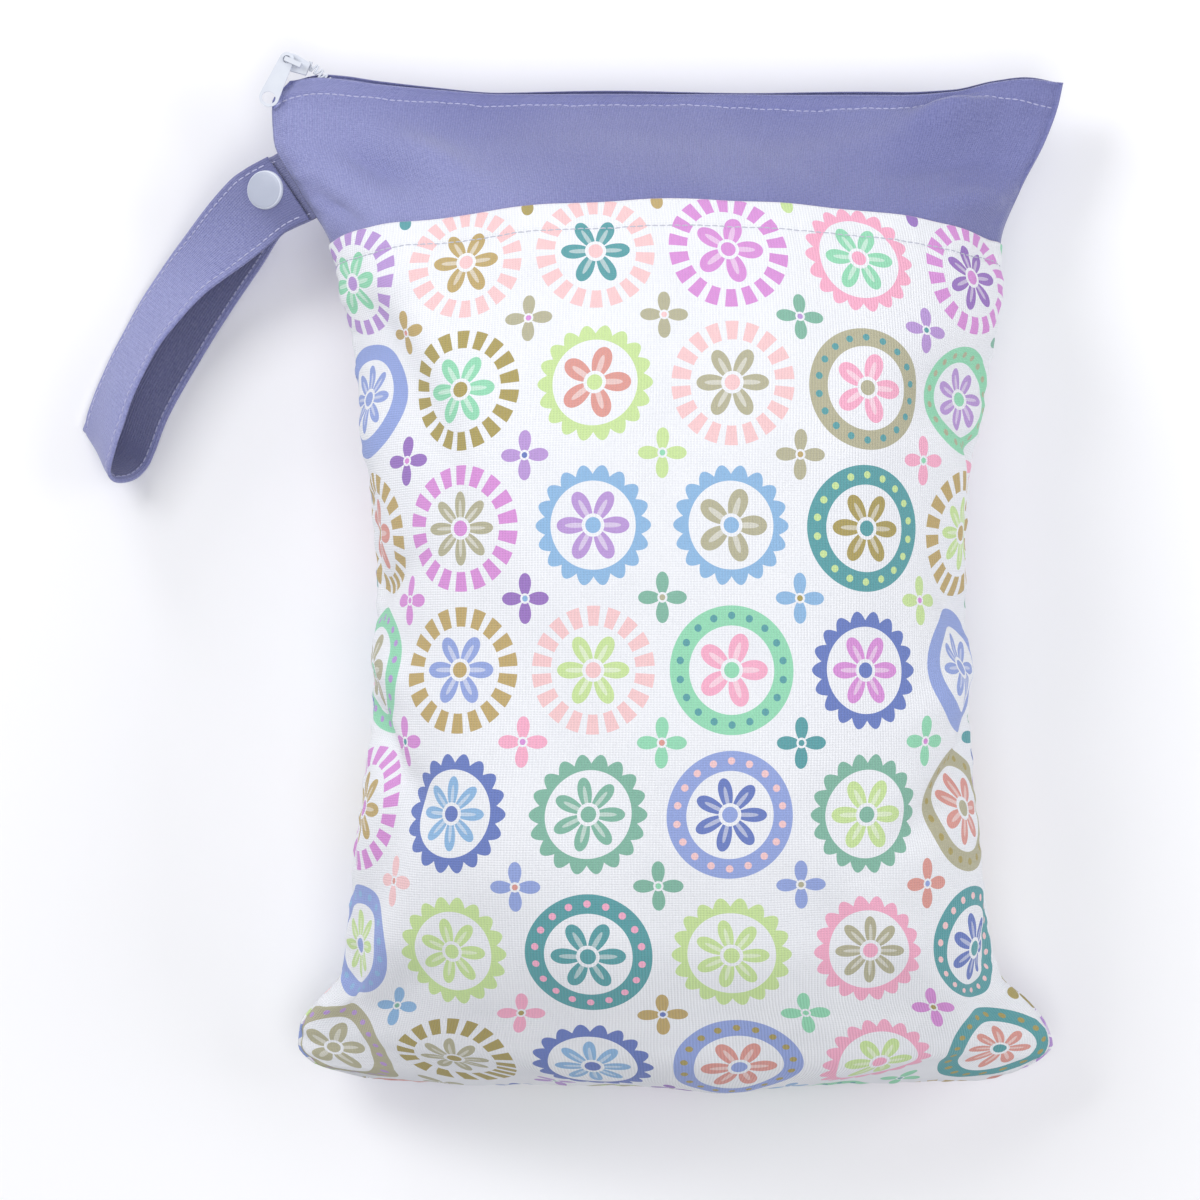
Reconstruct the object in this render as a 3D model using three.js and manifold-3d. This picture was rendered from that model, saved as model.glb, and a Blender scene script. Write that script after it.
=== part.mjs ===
// A zipped cloth wet bag, stuffed and lying on its back, with a wrist strap looped at its upper left corner.
// Millimetres. +X runs across the bag, +Y from its bottom seam to its zip, +Z up from the surface it lies on.
// The origin is the middle of the flat patch of the back that the bag lies on.
import * as THREE from "three";
import { mergeVertices } from "three/addons/utils/BufferGeometryUtils.js";
import Module from "manifold-3d";

const wasm = await Module();
wasm.setup();

// The stuffed bag.
const bag_width = 300; // along the zip, which keeps the flat cloth's width
const bag_length = 370; // from the bottom to the zip, as it lies
const bag_depth = 130; // through the stuffed middle
const origin_to_bottom = 189;
const cloth = 1.2; // one wall
const bottom_round = 56; // how far the bottom takes to reach its full depth
const seam_gap = 0.3; // between two cloth edges sewn together
const fold_depth = 9; // of the deepest fold

// The upper band and the printed panel that laps over it.
const band_width = 57; // from the zip edge to the printed panel's hem at the side seams
const hem_depth = 12; // from the hem's fold to its stitching
const hem_cloth = 1.9; // the doubled cloth of the hem
const lap = 22; // the band goes on under the printed panel this far
const lap_ease = 16; // in which the printed panel comes back to the bag's surface

// The zip.
const coil_width = 3.6;
const coil_thickness = 1.6;
const tape_width = 12;
const tape_thickness = 0.8;
const zip_inset = 0.9; // the cloth's edge stands this far above the coil
const zip_end_margin = 9; // from the coil's right end to the side seam
const zip_end_rise = 9; // the coil leaves the cloth at its left end
const zip_end_run = 26; // in this length
const slider_length = 10.4;
const slider_width = 6.4;
const slider_plate = 1.1;
const slider_slope = 24; // degrees, rising towards the left end
const post_radius = 0.8;
const boss_height = 1.1;
const boss_radius = 2.2;
const bridge_width = 1.8;
const bridge_thickness = 1.1;
const bridge_length = 6.6;
const pull_thickness = 1.2;
const pull_length = 19.4; // from the post to the outside of the finger ring
const pull_width = 7.5;
const pull_neck_width = 5.4;
const pull_hole_width = 5.2;
const pull_hole_length = 4.5;
const pull_eye_radius = 1.5;
const pull_angle = 245; // degrees from +X, the way the pull points
const clearance = 0.35; // between hard pieces

// The strap and its snap.
const strap_width = 30;
const strap_cloth = 1.6;
const strap_loop = 120; // from the seam to the end of the loop
const strap_top = 0.94; // place of the strap's upper edge on the left seam, as a share from the bottom
const strap_tuck = 5; // goes into the side seam
const snap_diameter = 14;
const snap_cap_height = 1.5;
const snap_post_radius = 1.4;
const snap_body_diameter = 10;
const snap_station = 1; // row of the strap's table that the snap is at, counted from its free end

// Sections of the bag from the bottom seam, 0, to the zip, 1. left and right are the side seam's distance from the
// middle as shares of half the bag's width. front is the bulge over the seam, seam the seam's height, both shares of the
// depth. flare turns a round side, 0.5, into a thin lip, over 1. bow lifts the middle of a row, as a share of the length.
const SECTIONS = [
  { along: 0.0, left: 0.76, right: 0.82, front: 0.5, seam: 0.25, flare: 1.4, bow: -0.003 },
  { along: 0.015, left: 0.9, right: 0.925, front: 0.5, seam: 0.24, flare: 1.4, bow: -0.003 },
  { along: 0.032, left: 0.935, right: 0.965, front: 0.505, seam: 0.235, flare: 1.4, bow: -0.003 },
  { along: 0.052, left: 0.93, right: 0.95, front: 0.51, seam: 0.24, flare: 1.3, bow: -0.003 },
  { along: 0.078, left: 0.885, right: 0.9, front: 0.515, seam: 0.275, flare: 1.05, bow: -0.003 },
  { along: 0.105, left: 0.825, right: 0.828, front: 0.52, seam: 0.325, flare: 0.75, bow: -0.003 },
  { along: 0.16, left: 0.8, right: 0.79, front: 0.53, seam: 0.39, flare: 0.57, bow: -0.002 },
  { along: 0.25, left: 0.774, right: 0.756, front: 0.54, seam: 0.44, flare: 0.5, bow: -0.001 },
  { along: 0.36, left: 0.735, right: 0.735, front: 0.545, seam: 0.455, flare: 0.5, bow: 0.0 },
  { along: 0.47, left: 0.722, right: 0.722, front: 0.545, seam: 0.455, flare: 0.5, bow: 0.004 },
  { along: 0.59, left: 0.738, right: 0.736, front: 0.53, seam: 0.45, flare: 0.5, bow: 0.009 },
  { along: 0.7, left: 0.77, right: 0.78, front: 0.485, seam: 0.43, flare: 0.55, bow: 0.016 },
  { along: 0.79, left: 0.81, right: 0.815, front: 0.4, seam: 0.39, flare: 0.65, bow: 0.024 },
  { along: 0.85, left: 0.852, right: 0.828, front: 0.315, seam: 0.345, flare: 0.8, bow: 0.028 },
  { along: 0.9, left: 0.93, right: 0.88, front: 0.225, seam: 0.295, flare: 0.95, bow: 0.022 },
  { along: 0.945, left: 0.995, right: 0.945, front: 0.13, seam: 0.262, flare: 1.15, bow: 0.01 },
  { along: 0.978, left: 1.0, right: 0.978, front: 0.05, seam: 0.25, flare: 1.25, bow: 0.002 },
  { along: 1.0, left: 0.955, right: 0.99, front: 0.0, seam: 0.25, flare: 1.25, bow: 0.0 },
];

// Height of the zip edge over its middle, as a share of the length, at places across from the left seam, -1, to the right, 1.
const ZIP_EDGE = [
  { across: -1.0, rise: 0.0146 },
  { across: -0.93, rise: 0.018 },
  { across: -0.86, rise: 0.016 },
  { across: -0.77, rise: 0.011 },
  { across: -0.63, rise: 0.006 },
  { across: -0.45, rise: 0.001 },
  { across: 0.0, rise: 0.001 },
  { across: 0.57, rise: 0.0 },
  { across: 0.72, rise: 0.004 },
  { across: 0.82, rise: 0.013 },
  { across: 0.9, rise: 0.0165 },
  { across: 1.0, rise: 0.0125 },
];

// Folds and dents of the front, which fade along their length and to both sides. across and along are the middle's place,
// turn the direction in degrees from +X, length and width shares of the bag's length, depth a share of fold_depth.
const FRONT_FOLDS = [
  { name: "dimple over the strap", across: -0.8, along: 0.912, turn: -30, length: 0.05, width: 0.028, depth: -0.35 },
  { name: "ridge beside the dimple", across: -0.6, along: 0.905, turn: -35, length: 0.09, width: 0.028, depth: 0.3 },
  { name: "upper right ridge", across: 0.72, along: 0.955, turn: 24, length: 0.07, width: 0.022, depth: 0.3 },
  { name: "right corner valley", across: 0.84, along: 0.87, turn: 14, length: 0.06, width: 0.02, depth: -0.3 },
  { name: "right corner ridge", across: 0.76, along: 0.9, turn: 14, length: 0.08, width: 0.02, depth: 0.25 },
  { name: "left waist crease", across: -0.78, along: 0.37, turn: -36, length: 0.08, width: 0.032, depth: -0.6 },
  { name: "left waist pad", across: -0.82, along: 0.44, turn: -24, length: 0.06, width: 0.032, depth: 0.5 },
  { name: "left arm crease", across: -0.84, along: 0.51, turn: 18, length: 0.06, width: 0.03, depth: -0.4 },
  { name: "right waist crease", across: 0.78, along: 0.345, turn: 32, length: 0.085, width: 0.034, depth: -0.8 },
  { name: "right waist pad", across: 0.8, along: 0.42, turn: 22, length: 0.07, width: 0.032, depth: 0.6 },
  { name: "right arm crease", across: 0.82, along: 0.49, turn: -22, length: 0.06, width: 0.03, depth: -0.5 },
  { name: "right shoulder crease", across: 0.86, along: 0.63, turn: -35, length: 0.06, width: 0.03, depth: -0.4 },
  { name: "right foot crease", across: 0.84, along: 0.13, turn: 66, length: 0.08, width: 0.032, depth: -0.6 },
  { name: "left foot crease", across: -0.84, along: 0.12, turn: -68, length: 0.07, width: 0.032, depth: -0.5 },
];

// Notches that the stuffing's pull makes in the side seams: inward depth as a share of fold_depth, width of the length.
const SEAM_NOTCHES = [
  { side: -1, along: 0.43, width: 0.022, depth: 0.3 },
  { side: -1, along: 0.56, width: 0.018, depth: 0.25 },
  { side: -1, along: 0.34, width: 0.018, depth: -0.2 },
  { side: 1, along: 0.44, width: 0.02, depth: 0.4 },
  { side: 1, along: 0.6, width: 0.018, depth: 0.3 },
  { side: 1, along: 0.36, width: 0.02, depth: 0.25 },
  { side: 1, along: 0.78, width: 0.02, depth: -0.2 },
];

// The strap from its sewn end, out along the surface, round the end of its loop and back on top to its free end: the
// place of its upper edge. x and y are shares of strap_loop from where that edge leaves the seam and z a share of the
// seam's height there. turn is the plan direction of the strap's width and tilt its slope, in degrees.
const STRAP_STATIONS = [
  { x: -0.04, y: -0.018, z: 0.939, turn: -56, tilt: 13 },
  { x: -0.098, y: -0.048, z: 0.85, turn: -52, tilt: 14.2 },
  { x: -0.155, y: -0.09, z: 0.764, turn: -48, tilt: 15.3 },
  { x: -0.25, y: -0.195, z: 0.47, turn: -42, tilt: 5 },
  { x: -0.367, y: -0.345, z: 0.15, turn: -37, tilt: -1 },
  { x: -0.471, y: -0.507, z: 0.037, turn: -36, tilt: 0 },
  { x: -0.558, y: -0.661, z: 0.031, turn: -36, tilt: 0 },
  { x: -0.604, y: -0.778, z: 0.031, turn: -36, tilt: 1 },
  { x: -0.621, y: -0.823, z: 0.039, turn: -38, tilt: 4 },
  { x: -0.629, y: -0.848, z: 0.074, turn: -47, tilt: 18 },
  { x: -0.628, y: -0.848, z: 0.115, turn: -58, tilt: 33 },
  { x: -0.618, y: -0.823, z: 0.134, turn: -61, tilt: 42 },
  { x: -0.596, y: -0.761, z: 0.134, turn: -55, tilt: 50 },
  { x: -0.554, y: -0.653, z: 0.131, turn: -44, tilt: 55 },
  { x: -0.471, y: -0.498, z: 0.137, turn: -38, tilt: 56 },
  { x: -0.367, y: -0.336, z: 0.256, turn: -36, tilt: 47 },
  { x: -0.25, y: -0.19, z: 0.65, turn: -42, tilt: 27 },
  { x: -0.155, y: -0.09, z: 0.914, turn: -48, tilt: 15.3 },
  { x: -0.098, y: -0.048, z: 1.0, turn: -52, tilt: 14.2 },
  { x: -0.04, y: -0.018, z: 1.089, turn: -56, tilt: 13 },
];

const ROWS_BOTTOM = 7; // rows in the rounded bottom
const COLUMNS = 22; // across each panel
const half_width = bag_width / 2;
const bottom_y = -origin_to_bottom;
const zip_half_gap = coil_thickness / 2 + seam_gap;
const zip_height = bag_depth * SECTIONS[SECTIONS.length - 1].seam;
const hem_along = 1 - band_width / bag_length;
const band_start = hem_along - lap / bag_length;

const clamp01 = (a) => Math.min(1, Math.max(0, a));
const smooth = (a) => clamp01(a) ** 2 * (3 - 2 * clamp01(a));
const rad = THREE.MathUtils.degToRad;

// The value of a table's column at a place along its key column, on a smooth curve that never overshoots its rows.
function lookup(table, key, column, at) {
  const last = table.length - 2;
  let i = table.findIndex((row) => row[key] > at) - 1;
  i = i < 0 ? (at <= table[0][key] ? 0 : last) : i;
  const slope = (k) => {
    if (k < 0 || k > last) return 0;
    return (table[k + 1][column] - table[k][column]) / (table[k + 1][key] - table[k][key]);
  };
  const tangent = (k) => {
    const before = k === 0 ? slope(0) : slope(k - 1);
    const after = k > last ? slope(last) : slope(k);
    return before * after <= 0 ? 0 : (2 * before * after) / (before + after);
  };
  const step = table[i + 1][key] - table[i][key];
  const f = clamp01((at - table[i][key]) / step);
  const rise = table[i + 1][column] - table[i][column];
  const m0 = tangent(i) * step;
  const m1 = tangent(i + 1) * step;
  return table[i][column] + m0 * f + (3 * rise - 2 * m0 - m1) * f ** 2 + (m0 + m1 - 2 * rise) * f ** 3;
}

const section = (column, along) => lookup(SECTIONS, "along", column, along);

// How far a seam notch moves a side seam inwards.
function notch(side, along) {
  return SEAM_NOTCHES.filter((n) => n.side === side).reduce(
    (sum, n) => sum + n.depth * fold_depth * Math.exp(-(((along - n.along) / n.width) ** 2)),
    0,
  );
}

// Height of the front's folds at a place of the bag.
function foldHeight(across, along) {
  const edge = smooth((1 - Math.abs(across)) / 0.08);
  return FRONT_FOLDS.reduce((sum, f) => {
    const dx = ((across - f.across) * half_width) / bag_length;
    const dy = along - f.along;
    const lengthwise = (dx * Math.cos(rad(f.turn)) + dy * Math.sin(rad(f.turn))) / f.length;
    const sideways = (dy * Math.cos(rad(f.turn)) - dx * Math.sin(rad(f.turn))) / f.width;
    return sum + edge * f.depth * fold_depth * Math.exp(-(lengthwise ** 2) - sideways ** 2);
  }, 0);
}

// Half the opening between the front and back edges: wider at the zip, and where the strap is sewn into the left seam.
function halfGap(across, along) {
  const zip = smooth((along - 0.94) / 0.035) * (zip_half_gap - seam_gap / 2);
  const strap_window = smooth((along - 0.81) / 0.025) * smooth((0.985 - along) / 0.025);
  const strap_side = smooth((-across - 0.55) / 0.25);
  const strap_room = strap_cloth / 2 + 2 * seam_gap;
  return seam_gap / 2 + Math.max(zip, strap_window * strap_side * strap_room);
}

// A point of the front's or back's inner face, without folds. across is -1 at the left seam and 1 at the right.
function innerFace(face, across, along) {
  const left = -half_width * section("left", along) + notch(-1, along);
  const right = half_width * section("right", along) - notch(1, along);
  const x = (left + right) / 2 + (across * (right - left)) / 2;
  const middle = 1 - across ** 2;
  const edge_share = smooth((along - 0.86) / 0.14);
  const rise = lookup(ZIP_EDGE, "across", "rise", across) * edge_share + section("bow", along) * middle;
  const y = bottom_y + bag_length * (along + rise);
  const rounded = Math.sqrt(1 - (1 - clamp01((along * bag_length) / bottom_round)) ** 2);
  const flare = section("flare", along);
  const base = bag_depth * (section("seam", along) + 0.12 * middle * (1 - smooth(along / 0.11)));
  if (face === "front") {
    const bulge = (1 - Math.abs(across) ** 2.7) ** flare;
    const full = bag_depth * section("front", along) - cloth;
    return new THREE.Vector3(x, y, base + halfGap(across, along) + Math.max(0, full) * bulge * rounded);
  }
  const sag = (1 - Math.abs(across) ** 3.4) ** Math.max(0.5, flare);
  const under = 1.3 * base * sag * rounded * smooth((1.02 - along) / 0.24);
  return new THREE.Vector3(x, y, Math.max(cloth, base - halfGap(across, along) - under));
}

const STEP = 1e-4;

// The outward direction of a face at a place.
function outward(pointAt, across, along) {
  const a0 = Math.max(-1, across - STEP);
  const a1 = Math.min(1, across + STEP);
  const l0 = Math.max(0, along - STEP);
  const l1 = Math.min(1, along + STEP);
  const du = pointAt(a1, along).sub(pointAt(a0, along));
  const dv = pointAt(across, l1).sub(pointAt(across, l0));
  return du.cross(dv).normalize();
}

// A point of a panel: offset is its distance out from the inner face.
function panelPoint(face, across, along, offset) {
  const smoothFace = (a, l) => innerFace(face, a, l);
  const side = face === "front" ? 1 : -1;
  const inset = (a) => Math.max(-0.999, Math.min(0.999, a));
  const normal = outward(smoothFace, inset(across), Math.max(0.0005, along)).multiplyScalar(side);
  normal.z = side * Math.max(0, side * normal.z);
  normal.normalize();
  const fold = face === "front" ? foldHeight(across, along) : 0;
  const p = smoothFace(across, along).addScaledVector(normal, fold + offset);
  if (face === "back") p.z = Math.max(0, p.z);
  return p;
}

// A closed solid between two grids of points with the same rows and columns.
function slab(inner, outer) {
  const rows = inner.length;
  const columns = inner[0].length;
  const points = [...inner.flat(), ...outer.flat()];
  const at = (layer, i, j) => layer * rows * columns + i * columns + j;
  const index = [];
  const quad = (a, b, c, d) => index.push(a, b, c, a, c, d);
  for (let i = 0; i < rows - 1; i++) {
    for (let j = 0; j < columns - 1; j++) {
      quad(at(1, i, j), at(1, i, j + 1), at(1, i + 1, j + 1), at(1, i + 1, j));
      quad(at(0, i, j), at(0, i + 1, j), at(0, i + 1, j + 1), at(0, i, j + 1));
    }
  }
  for (let j = 0; j < columns - 1; j++) {
    quad(at(0, 0, j), at(0, 0, j + 1), at(1, 0, j + 1), at(1, 0, j));
    quad(at(1, rows - 1, j), at(1, rows - 1, j + 1), at(0, rows - 1, j + 1), at(0, rows - 1, j));
  }
  for (let i = 0; i < rows - 1; i++) {
    quad(at(1, i, 0), at(1, i + 1, 0), at(0, i + 1, 0), at(0, i, 0));
    quad(at(0, i, columns - 1), at(0, i + 1, columns - 1), at(1, i + 1, columns - 1), at(1, i, columns - 1));
  }
  const geometry = new THREE.BufferGeometry();
  geometry.setAttribute("position", new THREE.Float32BufferAttribute(points.flatMap((p) => p.toArray()), 3));
  geometry.setIndex(index);
  return geometry;
}

// Places of the rows from the bottom seam to the zip, closer together where the bottom is round.
function rowPlaces() {
  const round_share = bottom_round / bag_length;
  const bottom = [...Array(ROWS_BOTTOM + 1).keys()].map(
    (i) => round_share * (1 - Math.cos((Math.PI / 2) * (i / ROWS_BOTTOM))),
  );
  const body_end = band_start - lap_ease / bag_length;
  const body_rows = Math.round((body_end - round_share) / 0.037);
  const body = [...Array(body_rows).keys()].map(
    (i) => round_share + ((body_end - round_share) * (i + 1)) / body_rows,
  );
  const hem_line = hem_along - hem_depth / bag_length;
  const upper_rows = 5;
  const upper = [...Array(upper_rows).keys()].map((i) => hem_along + ((1 - hem_along) * (i + 1)) / upper_rows);
  return [...bottom, ...body, (body_end + band_start) / 2, band_start, hem_line, hem_along, ...upper];
}

const columnPlaces = [...Array(COLUMNS + 1).keys()].map((j) => Math.sin(Math.PI * (j / COLUMNS - 0.5)));

// A cloth panel over the rows between two places. lift is its inner side's distance from the inner face, thick its cloth.
function panel(face, from, to, lift, thick) {
  const rows = rowPlaces().filter((along) => along >= from - 1e-9 && along <= to + 1e-9);
  const grid = (offset) =>
    rows.map((along) => columnPlaces.map((across) => panelPoint(face, across, along, offset(along))));
  const inner = grid(lift);
  const outer = grid((along) => lift(along) + thick(along));
  const turned = (g) => (face === "front" ? g : g.map((row) => [...row].reverse()));
  return slab(turned(inner), turned(outer));
}

const plainCloth = () => cloth;
const onBag = () => 0;
const lapLift = (along) => (cloth + seam_gap) * smooth((along - band_start) / (lap_ease / bag_length) + 1);
const hemmedCloth = (along) => (along > hem_along - (hem_depth + 1) / bag_length ? hem_cloth : cloth);

const frontUpper = panel("front", band_start, 1, onBag, plainCloth);
const frontPrint = panel("front", 0, hem_along, lapLift, hemmedCloth);

// Behind, the printed cloth meets the band in a plain seam.
const seam_share = seam_gap / bag_length;
function backPanel(from, to) {
  const rows = rowPlaces();
  const inside = rows.filter((along) => along > from + seam_share && along < to - seam_share);
  const places = [from, ...inside, to];
  const grid = (offset) =>
    places.map((along) => [...columnPlaces].reverse().map((across) => panelPoint("back", across, along, offset)));
  return slab(grid(0), grid(cloth));
}
const backPrint = backPanel(0, hem_along - seam_share / 2);
const backUpper = backPanel(hem_along + seam_share / 2, 1);

// The zip lies between the two edges of cloth. Its line follows the cloth's edge just inside it.
const top_left = -half_width * SECTIONS[SECTIONS.length - 1].left;
const top_right = half_width * SECTIONS[SECTIONS.length - 1].right;
const zip_right = top_right - zip_end_margin;

function zipEdgeY(x) {
  const across = (2 * x - top_left - top_right) / (top_right - top_left);
  return bottom_y + bag_length * (1 + lookup(ZIP_EDGE, "across", "rise", across));
}

function coilY(x) {
  const end_rise = zip_end_rise * smooth(1 - (x - top_left) / zip_end_run);
  return zipEdgeY(x) - zip_inset - coil_width / 2 + end_rise;
}

// A strip along a line of the zip, from its lower to its upper side, round the zip's height.
function zipStrip(lineY, from_x, below, above, thickness) {
  const steps = 36;
  const grid = (side) =>
    [below, above].map((dy) =>
      [...Array(steps + 1).keys()].map((i) => {
        const x = from_x + (zip_right - from_x) * (i / steps) ** 1.5;
        return new THREE.Vector3(x, lineY(x) + dy, zip_height + (side * thickness) / 2);
      }),
    );
  return slab(grid(-1), grid(1));
}

// Extrudes a flat outline upwards from z = 0.
function plate(shape, height, curve_steps = 10) {
  return new THREE.ExtrudeGeometry(shape, { depth: height, bevelEnabled: false, curveSegments: curve_steps });
}

function toManifold(geometry) {
  const bare = (geometry.index ? geometry.toNonIndexed() : geometry.clone()).deleteAttribute("normal");
  bare.deleteAttribute("uv");
  const merged = mergeVertices(bare, 1e-4);
  return new wasm.Manifold(
    new wasm.Mesh({
      numProp: 3,
      vertProperties: merged.attributes.position.array,
      triVerts: new Uint32Array(merged.index.array),
    }),
  );
}

function fromManifold(solid) {
  const mesh = solid.getMesh();
  const geometry = new THREE.BufferGeometry();
  geometry.setAttribute("position", new THREE.BufferAttribute(new Float32Array(mesh.vertProperties), 3));
  geometry.setIndex(new THREE.BufferAttribute(new Uint32Array(mesh.triVerts), 1));
  return geometry;
}

const joined = (parts) => fromManifold(parts.map(toManifold).reduce((a, b) => a.add(b)));
const moved = (geometry, x, y, z) => geometry.translate(x, y, z);

// A rod or disc standing on z = 0.
const rod = (radius, height, sides = 20) =>
  new THREE.CylinderGeometry(radius, radius, height, sides).rotateX(Math.PI / 2).translate(0, 0, height / 2);

// The slider in its own frame: +X towards its nose, +Z out of its upper plate, the coil running through its middle.
const coil_room = coil_thickness / 2 + clearance;
const plate_top = coil_room + slider_plate;
const pull_floor = plate_top + boss_height;
const bridge_floor = pull_floor + pull_thickness + 2 * clearance;
const nose_post = slider_length * 0.33;

function sliderOutline() {
  const h = slider_width / 2;
  const l = slider_length / 2;
  const s = new THREE.Shape();
  s.moveTo(-l, -h * 0.72);
  s.lineTo(l * 0.1, -h);
  s.quadraticCurveTo(l, -h, l, 0);
  s.quadraticCurveTo(l, h, l * 0.1, h);
  s.lineTo(-l, h * 0.72);
  s.closePath();
  return s;
}

function slider() {
  const upper = moved(plate(sliderOutline(), slider_plate), 0, 0, coil_room);
  const lower = moved(plate(sliderOutline(), slider_plate), 0, 0, -coil_room - slider_plate);
  const wedge = moved(new THREE.BoxGeometry(slider_length * 0.18, 1.2, 2 * plate_top), slider_length * 0.36, 0, 0);
  const boss = moved(rod(boss_radius, boss_height + 0.4), nose_post, 0, plate_top - 0.4);
  const post = moved(rod(post_radius, bridge_floor + 0.4 - plate_top), nose_post, 0, plate_top);
  const bar = moved(
    new THREE.BoxGeometry(bridge_length, bridge_width, bridge_thickness),
    nose_post + post_radius - bridge_length / 2,
    0,
    bridge_floor + bridge_thickness / 2,
  );
  const tail_x = nose_post + post_radius - bridge_length + bridge_thickness / 2;
  const tail_height = bridge_floor + 0.2 - plate_top + 0.2;
  const tail = moved(
    new THREE.BoxGeometry(bridge_thickness, bridge_width, tail_height),
    tail_x,
    0,
    plate_top - 0.2 + tail_height / 2,
  );
  return joined([upper, lower, wedge, boss, post, bar, tail]);
}

// The pull in its own frame: its eye round the post at the origin, its finger ring towards +X.
function pull() {
  const neck = pull_neck_width / 2;
  const end = pull_width / 2;
  const ring_x = pull_length - end;
  const s = new THREE.Shape();
  s.absarc(0, 0, neck, Math.PI / 2, (3 * Math.PI) / 2, false);
  s.lineTo(ring_x, -end);
  s.absarc(ring_x, 0, end, -Math.PI / 2, Math.PI / 2, false);
  s.closePath();
  const eye = new THREE.Path();
  eye.absarc(0, 0, pull_eye_radius, 0, 2 * Math.PI, true);
  const ring = new THREE.Path();
  const ring_wall = (pull_width - pull_hole_width) / 2;
  ring.absellipse(
    pull_length - ring_wall - pull_hole_length / 2,
    0,
    pull_hole_length / 2,
    pull_hole_width / 2,
    0,
    2 * Math.PI,
    true,
    0,
  );
  s.holes.push(eye, ring);
  return plate(s, pull_thickness, 12);
}

// Where the strap leaves the left side seam: the place of its upper edge and the direction of its width.
function seamPoint(along) {
  const p = innerFace("front", -1, along);
  p.z -= halfGap(-1, along);
  return p;
}
const root = seamPoint(strap_top);
const root_across = seamPoint(strap_top - (0.84 * strap_width) / bag_length).sub(root).normalize();
const root_turn = THREE.MathUtils.radToDeg(Math.atan2(root_across.y, root_across.x));
const root_tilt = THREE.MathUtils.radToDeg(Math.asin(root_across.z));
const root_outward = new THREE.Vector3(root_across.y, -root_across.x, 0).normalize();

const sewnStation = (distance) => ({
  place: root.clone().addScaledVector(root_outward, distance),
  turn: root_turn,
  tilt: root_tilt,
});
const freeStation = (row) => ({
  ...row,
  place: new THREE.Vector3(root.x + row.x * strap_loop, root.y + row.y * strap_loop, row.z * root.z),
});
const stations = [sewnStation(-strap_tuck), sewnStation(1), ...STRAP_STATIONS.map(freeStation)].map(
  (row, i) => ({ ...row, at: i / (STRAP_STATIONS.length + 1) }),
);
const edgeCurve = new THREE.CatmullRomCurve3(stations.map((row) => row.place), false, "centripetal");

function strapFrame(at) {
  const turn = rad(lookup(stations, "at", "turn", at));
  const tilt = rad(lookup(stations, "at", "tilt", at));
  const across = new THREE.Vector3(
    Math.cos(turn) * Math.cos(tilt),
    Math.sin(turn) * Math.cos(tilt),
    Math.sin(tilt),
  );
  return { edge: edgeCurve.getPoint(at), across };
}

// A point of the strap's centre surface and its normal, which points away from the loop's inside.
function strapPoint(at, share) {
  const place = (t, s) => {
    const frame = strapFrame(clamp01(t));
    return frame.edge.addScaledVector(frame.across, s * strap_width);
  };
  const along = place(at + STEP * 10, share).sub(place(at - STEP * 10, share));
  const normal = strapFrame(at).across.clone().cross(along).normalize();
  return { point: place(at, share), normal };
}

const STRAP_STEPS = 50;
const STRAP_COLUMNS = 3;
function strap(snap_points) {
  const grid = (side) =>
    [...Array(STRAP_STEPS + 1).keys()].map((i) =>
      [...Array(STRAP_COLUMNS + 1).keys()].map((j) => {
        const { point, normal } = strapPoint(i / STRAP_STEPS, j / STRAP_COLUMNS);
        return point.addScaledVector(normal, (side * strap_cloth) / 2);
      }),
    );
  const ribbon = toManifold(slab(grid(-1), grid(1)));
  const punched = snap_points.reduce((solid, { axis, point }) => {
    const hole = moved(rod(snap_post_radius + clearance, 2 * strap_cloth, 16), 0, 0, -strap_cloth);
    return solid.subtract(toManifold(hole.applyMatrix4(standing(point, axis))));
  }, ribbon);
  return fromManifold(punched);
}

// The matrix that stands a piece built on z = 0 at a point, with its +Z along an axis.
function standing(point, axis) {
  const turn = new THREE.Quaternion().setFromUnitVectors(new THREE.Vector3(0, 0, 1), axis);
  return new THREE.Matrix4().compose(point, turn, new THREE.Vector3(1, 1, 1));
}

const material = (color, roughness) => new THREE.MeshStandardMaterial({ color, roughness, metalness: 0 });
const lilac = material(0x8d8fc6, 0.75);
const print = material(0xf0f1f6, 0.8);
const plastic = material(0xd3dbe6, 0.35);
const white = material(0xe9edf3, 0.4);

const bag = new THREE.Group();
function addMesh(name, geometry, finish, parent = bag) {
  const mesh = new THREE.Mesh(geometry, finish);
  mesh.name = name;
  parent.add(mesh);
  return mesh;
}

addMesh("front_upper_panel", frontUpper, lilac);
addMesh("front_print_panel", frontPrint, print);
addMesh("back_upper_panel", backUpper, lilac);
addMesh("back_print_panel", backPrint, print);

const slider_x = top_left + 2.2;
const coil_from = slider_x - slider_length * 0.18;
addMesh("zip_coil", zipStrip(coilY, coil_from, -coil_width / 2, coil_width / 2, coil_thickness), white);
const tape_from = top_left + zip_end_run * 0.7;
const tape_top = -zip_inset - coil_width - seam_gap;
addMesh("zip_tape", zipStrip(zipEdgeY, tape_from, tape_top - tape_width, tape_top, tape_thickness), white);

// The slider and its pull at the zip's left end.
const zip_end = new THREE.Group();
zip_end.position.set(slider_x, coilY(slider_x), zip_height);
zip_end.rotation.z = rad(180 - slider_slope);
bag.add(zip_end);
addMesh("zip_slider", slider(), white, zip_end);
const pull_mesh = addMesh("zip_pull", pull(), white, zip_end);
pull_mesh.position.set(nose_post, 0, pull_floor + clearance);
pull_mesh.rotation.z = rad(pull_angle) - zip_end.rotation.z;

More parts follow.
